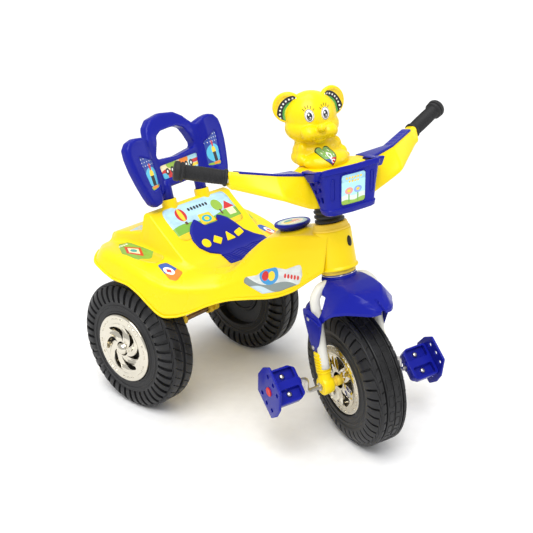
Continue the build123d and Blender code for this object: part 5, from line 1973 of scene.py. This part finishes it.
# ---- pedals ----
PEDAL_TILT = math.radians(42.0)
PEDAL_IN = 113.0
PEDAL_PLATE = (165.0, 169.4)
CRANK_OFFSET = Vector((0.0, 4.2, -29.7))    # left pedal's pin from the front hub
PLATE_OUTLINE = [(-41, -17), (-36, -41), (19, -47), (39, -15), (39, 15), (30, 39), (-18, 41),
                 (-38, 6)]
PLATE_HOLES = [(-27, -22), (-10, -31), (9, -30), (-16, 25), (2, 27), (20, 22)]
CRADLE_OUTLINE = [(PEDAL_IN, -24), (124, -31), (166, -31), (166, 31), (124, 31), (PEDAL_IN, 24)]
POCKETS = [((119, 7), (160, 27)), ((119, -27), (160, -7))]
PEDAL_SCREW_AT = 16.0


def pedal_space(sign):
    """Function from the pedal's own x outward, a to the rear and b up to the straight frame."""
    pin = FRONT_HUB + CRANK_OFFSET * sign
    cos, sin = math.cos(PEDAL_TILT), math.sin(PEDAL_TILT)

    def to_space(x, a, b):
        return Vector((sign * x, pin.y + a * cos - b * sin, pin.z + a * sin + b * cos))
    return to_space


def make_pedal_plate(sign, side):
    """Eight-sided outer guard with six oval holes."""
    space = pedal_space(sign)
    flat = lambda a, b, c: space(c, a, b)
    outline = smooth_outline(PLATE_OUTLINE, 5, 5, 3)
    plate = soft_prism(f"pedal_plate_{side}", outline, *PEDAL_PLATE, 1.4, BLUE, STEERED,
                       to_space=flat)
    for a, b in PLATE_HOLES:
        hole = prism("hole", arc_points((a, b), (3.8, 5.2), 0, 345, 23), PEDAL_PLATE[0] - 3,
                     PEDAL_PLATE[1] + 3, BLUE, STEERED, to_space=flat)
        cut(plate, hole)
    return smooth_by_angle(plate, 40)


def make_pedal_cradle(sign, side):
    """Tread block with two open pockets and a round rib over the crank's pin."""
    space = pedal_space(sign)
    outline = smooth_outline(CRADLE_OUTLINE, 7, 6, 3)
    block = soft_prism(f"pedal_cradle_{side}", outline, -9, 10, 2.5, BLUE, STEERED, to_space=space)
    for low, high in POCKETS:
        cut(block, prism("pocket", rounded_box(low, high, 4), 1.5, 14, BLUE, STEERED,
                         to_space=space))
    axis = (space(1, 0, 0) - space(0, 0, 0)).normalized()
    profile = [(4.3, 111), (8, 111), (9.4, 112.5), (9.4, 164), (4.3, 164)]
    rib = lathe("rib", profile, space(0, 0, 0), axis, BLUE, STEERED, 48)
    return smooth_by_angle(join([block, rib], f"pedal_cradle_{side}"), 40)


def make_pedal_screws(sign, side):
    """Two domed screw heads in the pockets."""
    space = pedal_space(sign)
    up = (space(0, 0, 1) - space(0, 0, 0)).normalized()
    profile = [(0.02, 0.5), (5.0, 0.5), (5.0, 2.6), (4.4, 4.2), (3.0, 5.2), (0.02, 5.7)]
    heads = [lathe("head", profile, space(139, turn * PEDAL_SCREW_AT, 0), up, STEEL, STEERED, 32)
             for turn in (-1, 1)]
    return join(heads, f"pedal_screw_heads_{side}")


def make_pedal_reflector(sign, side):
    """Red disc over the end of the pin."""
    space = pedal_space(sign)
    axis = (space(1, 0, 0) - space(0, 0, 0)).normalized()
    face = PEDAL_PLATE[1]
    profile = [(0.02, face - 0.4), (8, face - 0.4), (8, face + 1.4), (7.2, face + 2.2),
               (5.4, face + 1.6), (0.02, face + 1.9)]
    return lathe(f"pedal_reflector_{side}", profile, space(0, 0, 0), axis, RED, STEERED, 48)


for side, sign in SIDES.items():
    body = f"pedal_set_{side}"
    place_piece(make_pedal_plate(sign, side), body, "body_blue", f"pedal_{side}")
    place_piece(make_pedal_cradle(sign, side), body, "body_blue", f"pedal_{side}")
    place_piece(make_pedal_screws(sign, side), body, "zinc_steel", f"pedal_screws_{side}")
    place_piece(make_pedal_reflector(sign, side), body, "disc_red", f"pedal_disc_{side}")


# ---- carried-over CAD nodes ----
CAD_MATERIALS = {
    "seat_insert": SEAT_BLUE, "tank_cap": BLUE, "backrest": BLUE, "mudguard": BLUE,
    "basket": BLUE, "wing_cover_right": BLUE, "wing_cover_left": BLUE,
    "pedal_right": BLUE, "pedal_left": BLUE,
    "handlebar_cover": YELLOW, "bear_figure": YELLOW, "knuckle_right": YELLOW,
    "knuckle_left": YELLOW,
    "head_plug": BLACK, "stem_collar": BLACK, "axle_spacers": BLACK, "axle_lock_caps": BLACK,
    "head_bush_upper": PALE_YELLOW, "head_bush_lower": PALE_YELLOW,
    "rear_bushes_right": PALE_YELLOW, "rear_bushes_left": PALE_YELLOW, "hub_spacers": PALE_YELLOW,
    "grip_right": GRIP, "grip_left": GRIP, "steering_ring": CHROME, "fork": FORK_WHITE,
    "axle_hanger": HANGER_YELLOW, "pedal_disc_right": RED, "pedal_disc_left": RED,
    "rear_axle": BARE_BROWN,
}
for node_name, node in frame["nodes"].items():
    finish = CAD_MATERIALS.get(node_name, STEEL)
    node.data.materials.clear()
    node.data.materials.append(finish)


# ---- stage, light and camera ----
FLOOR_SIZE = 60.0


def make_floor():
    """Wide flat ground, kept out of the model."""
    half = FLOOR_SIZE / 2 / MM
    floor = add_mesh("floor", [(-half, -half, 0), (half, -half, 0), (half, half, 0),
                               (-half, half, 0)], [(0, 1, 2, 3)], FLOOR)


def floor_material():
    """Nearly white matt ground with a faint mottle."""
    material, nodes, links = new_material("pale_floor")
    shader = nodes["Principled BSDF"]
    shader.inputs["Roughness"].default_value = 0.6
    noise = surface_detail(material, 40.0, 0.02)
    tone = ramp(material, noise.outputs["Fac"],
                [(0.4, (0.93, 0.93, 0.93)), (0.6, (0.96, 0.96, 0.96))])
    links.new(tone.outputs["Color"], shader.inputs["Base Color"])
    return material


FLOOR = floor_material()
make_floor()


def add_area_light(name, place, target, size, power):
    """Rectangular light at a place, aimed at a target."""
    data = bpy.data.lights.new(name, "AREA")
    data.shape = "RECTANGLE"
    data.size, data.size_y = size
    data.energy = power
    light = bpy.data.objects.new(name, data)
    light.location = place
    light.rotation_mode = "QUATERNION"
    light.rotation_quaternion = (Vector(target) - Vector(place)).to_track_quat("-Z", "Y")
    bpy.context.scene.collection.objects.link(light)


def light_scene():
    """A white world and a broad soft sun for the pale ground, and three lights for highlights."""
    world = bpy.data.worlds.new("studio")
    world.use_nodes = True
    world.node_tree.nodes["Background"].inputs["Color"].default_value = (1.0, 1.0, 1.0, 1.0)
    world.node_tree.nodes["Background"].inputs["Strength"].default_value = 0.66
    bpy.context.scene.world = world
    sun_data = bpy.data.lights.new("sun", "SUN")
    sun_data.energy = 1.9
    sun_data.angle = math.radians(38)
    sun = bpy.data.objects.new("sun", sun_data)
    sun.rotation_mode = "QUATERNION"
    sun.rotation_quaternion = Vector((0.45, 0.15, -1.0)).to_track_quat("-Z", "Y")
    bpy.context.scene.collection.objects.link(sun)
    add_area_light("key", (-1.3, -1.2, 1.9), (0, 0, 0.3), (0.7, 0.7), 9.0)
    add_area_light("fill", (1.5, -1.5, 1.3), (0, 0, 0.3), (0.6, 1.0), 5.0)
    add_area_light("top", (0.2, 0.4, 2.2), (0, 0, 0.3), (1.0, 1.0), 7.0)


def add_camera():
    """Three-quarter view from the right and in front, level apart from a slight roll."""
    azimuth, elevation, roll = math.radians(-49.83), math.radians(22.72), math.radians(0.118)
    place = Vector((-1.14094, -0.95591, 0.90187))
    back = Vector((math.sin(azimuth) * math.cos(elevation),
                   -math.cos(azimuth) * math.cos(elevation), math.sin(elevation)))
    data = bpy.data.cameras.new("camera")
    data.sensor_width = 36.0
    data.lens = 60.16
    camera = bpy.data.objects.new("camera", data)
    turn = (-back).to_track_quat("-Z", "Y").to_matrix().to_4x4()
    camera.matrix_world = Matrix.Translation(place) @ turn @ Matrix.Rotation(roll, 4, "Z")
    bpy.context.scene.collection.objects.link(camera)
    bpy.context.scene.camera = camera


light_scene()
add_camera()
bpy.context.scene.view_settings.view_transform = "Standard"
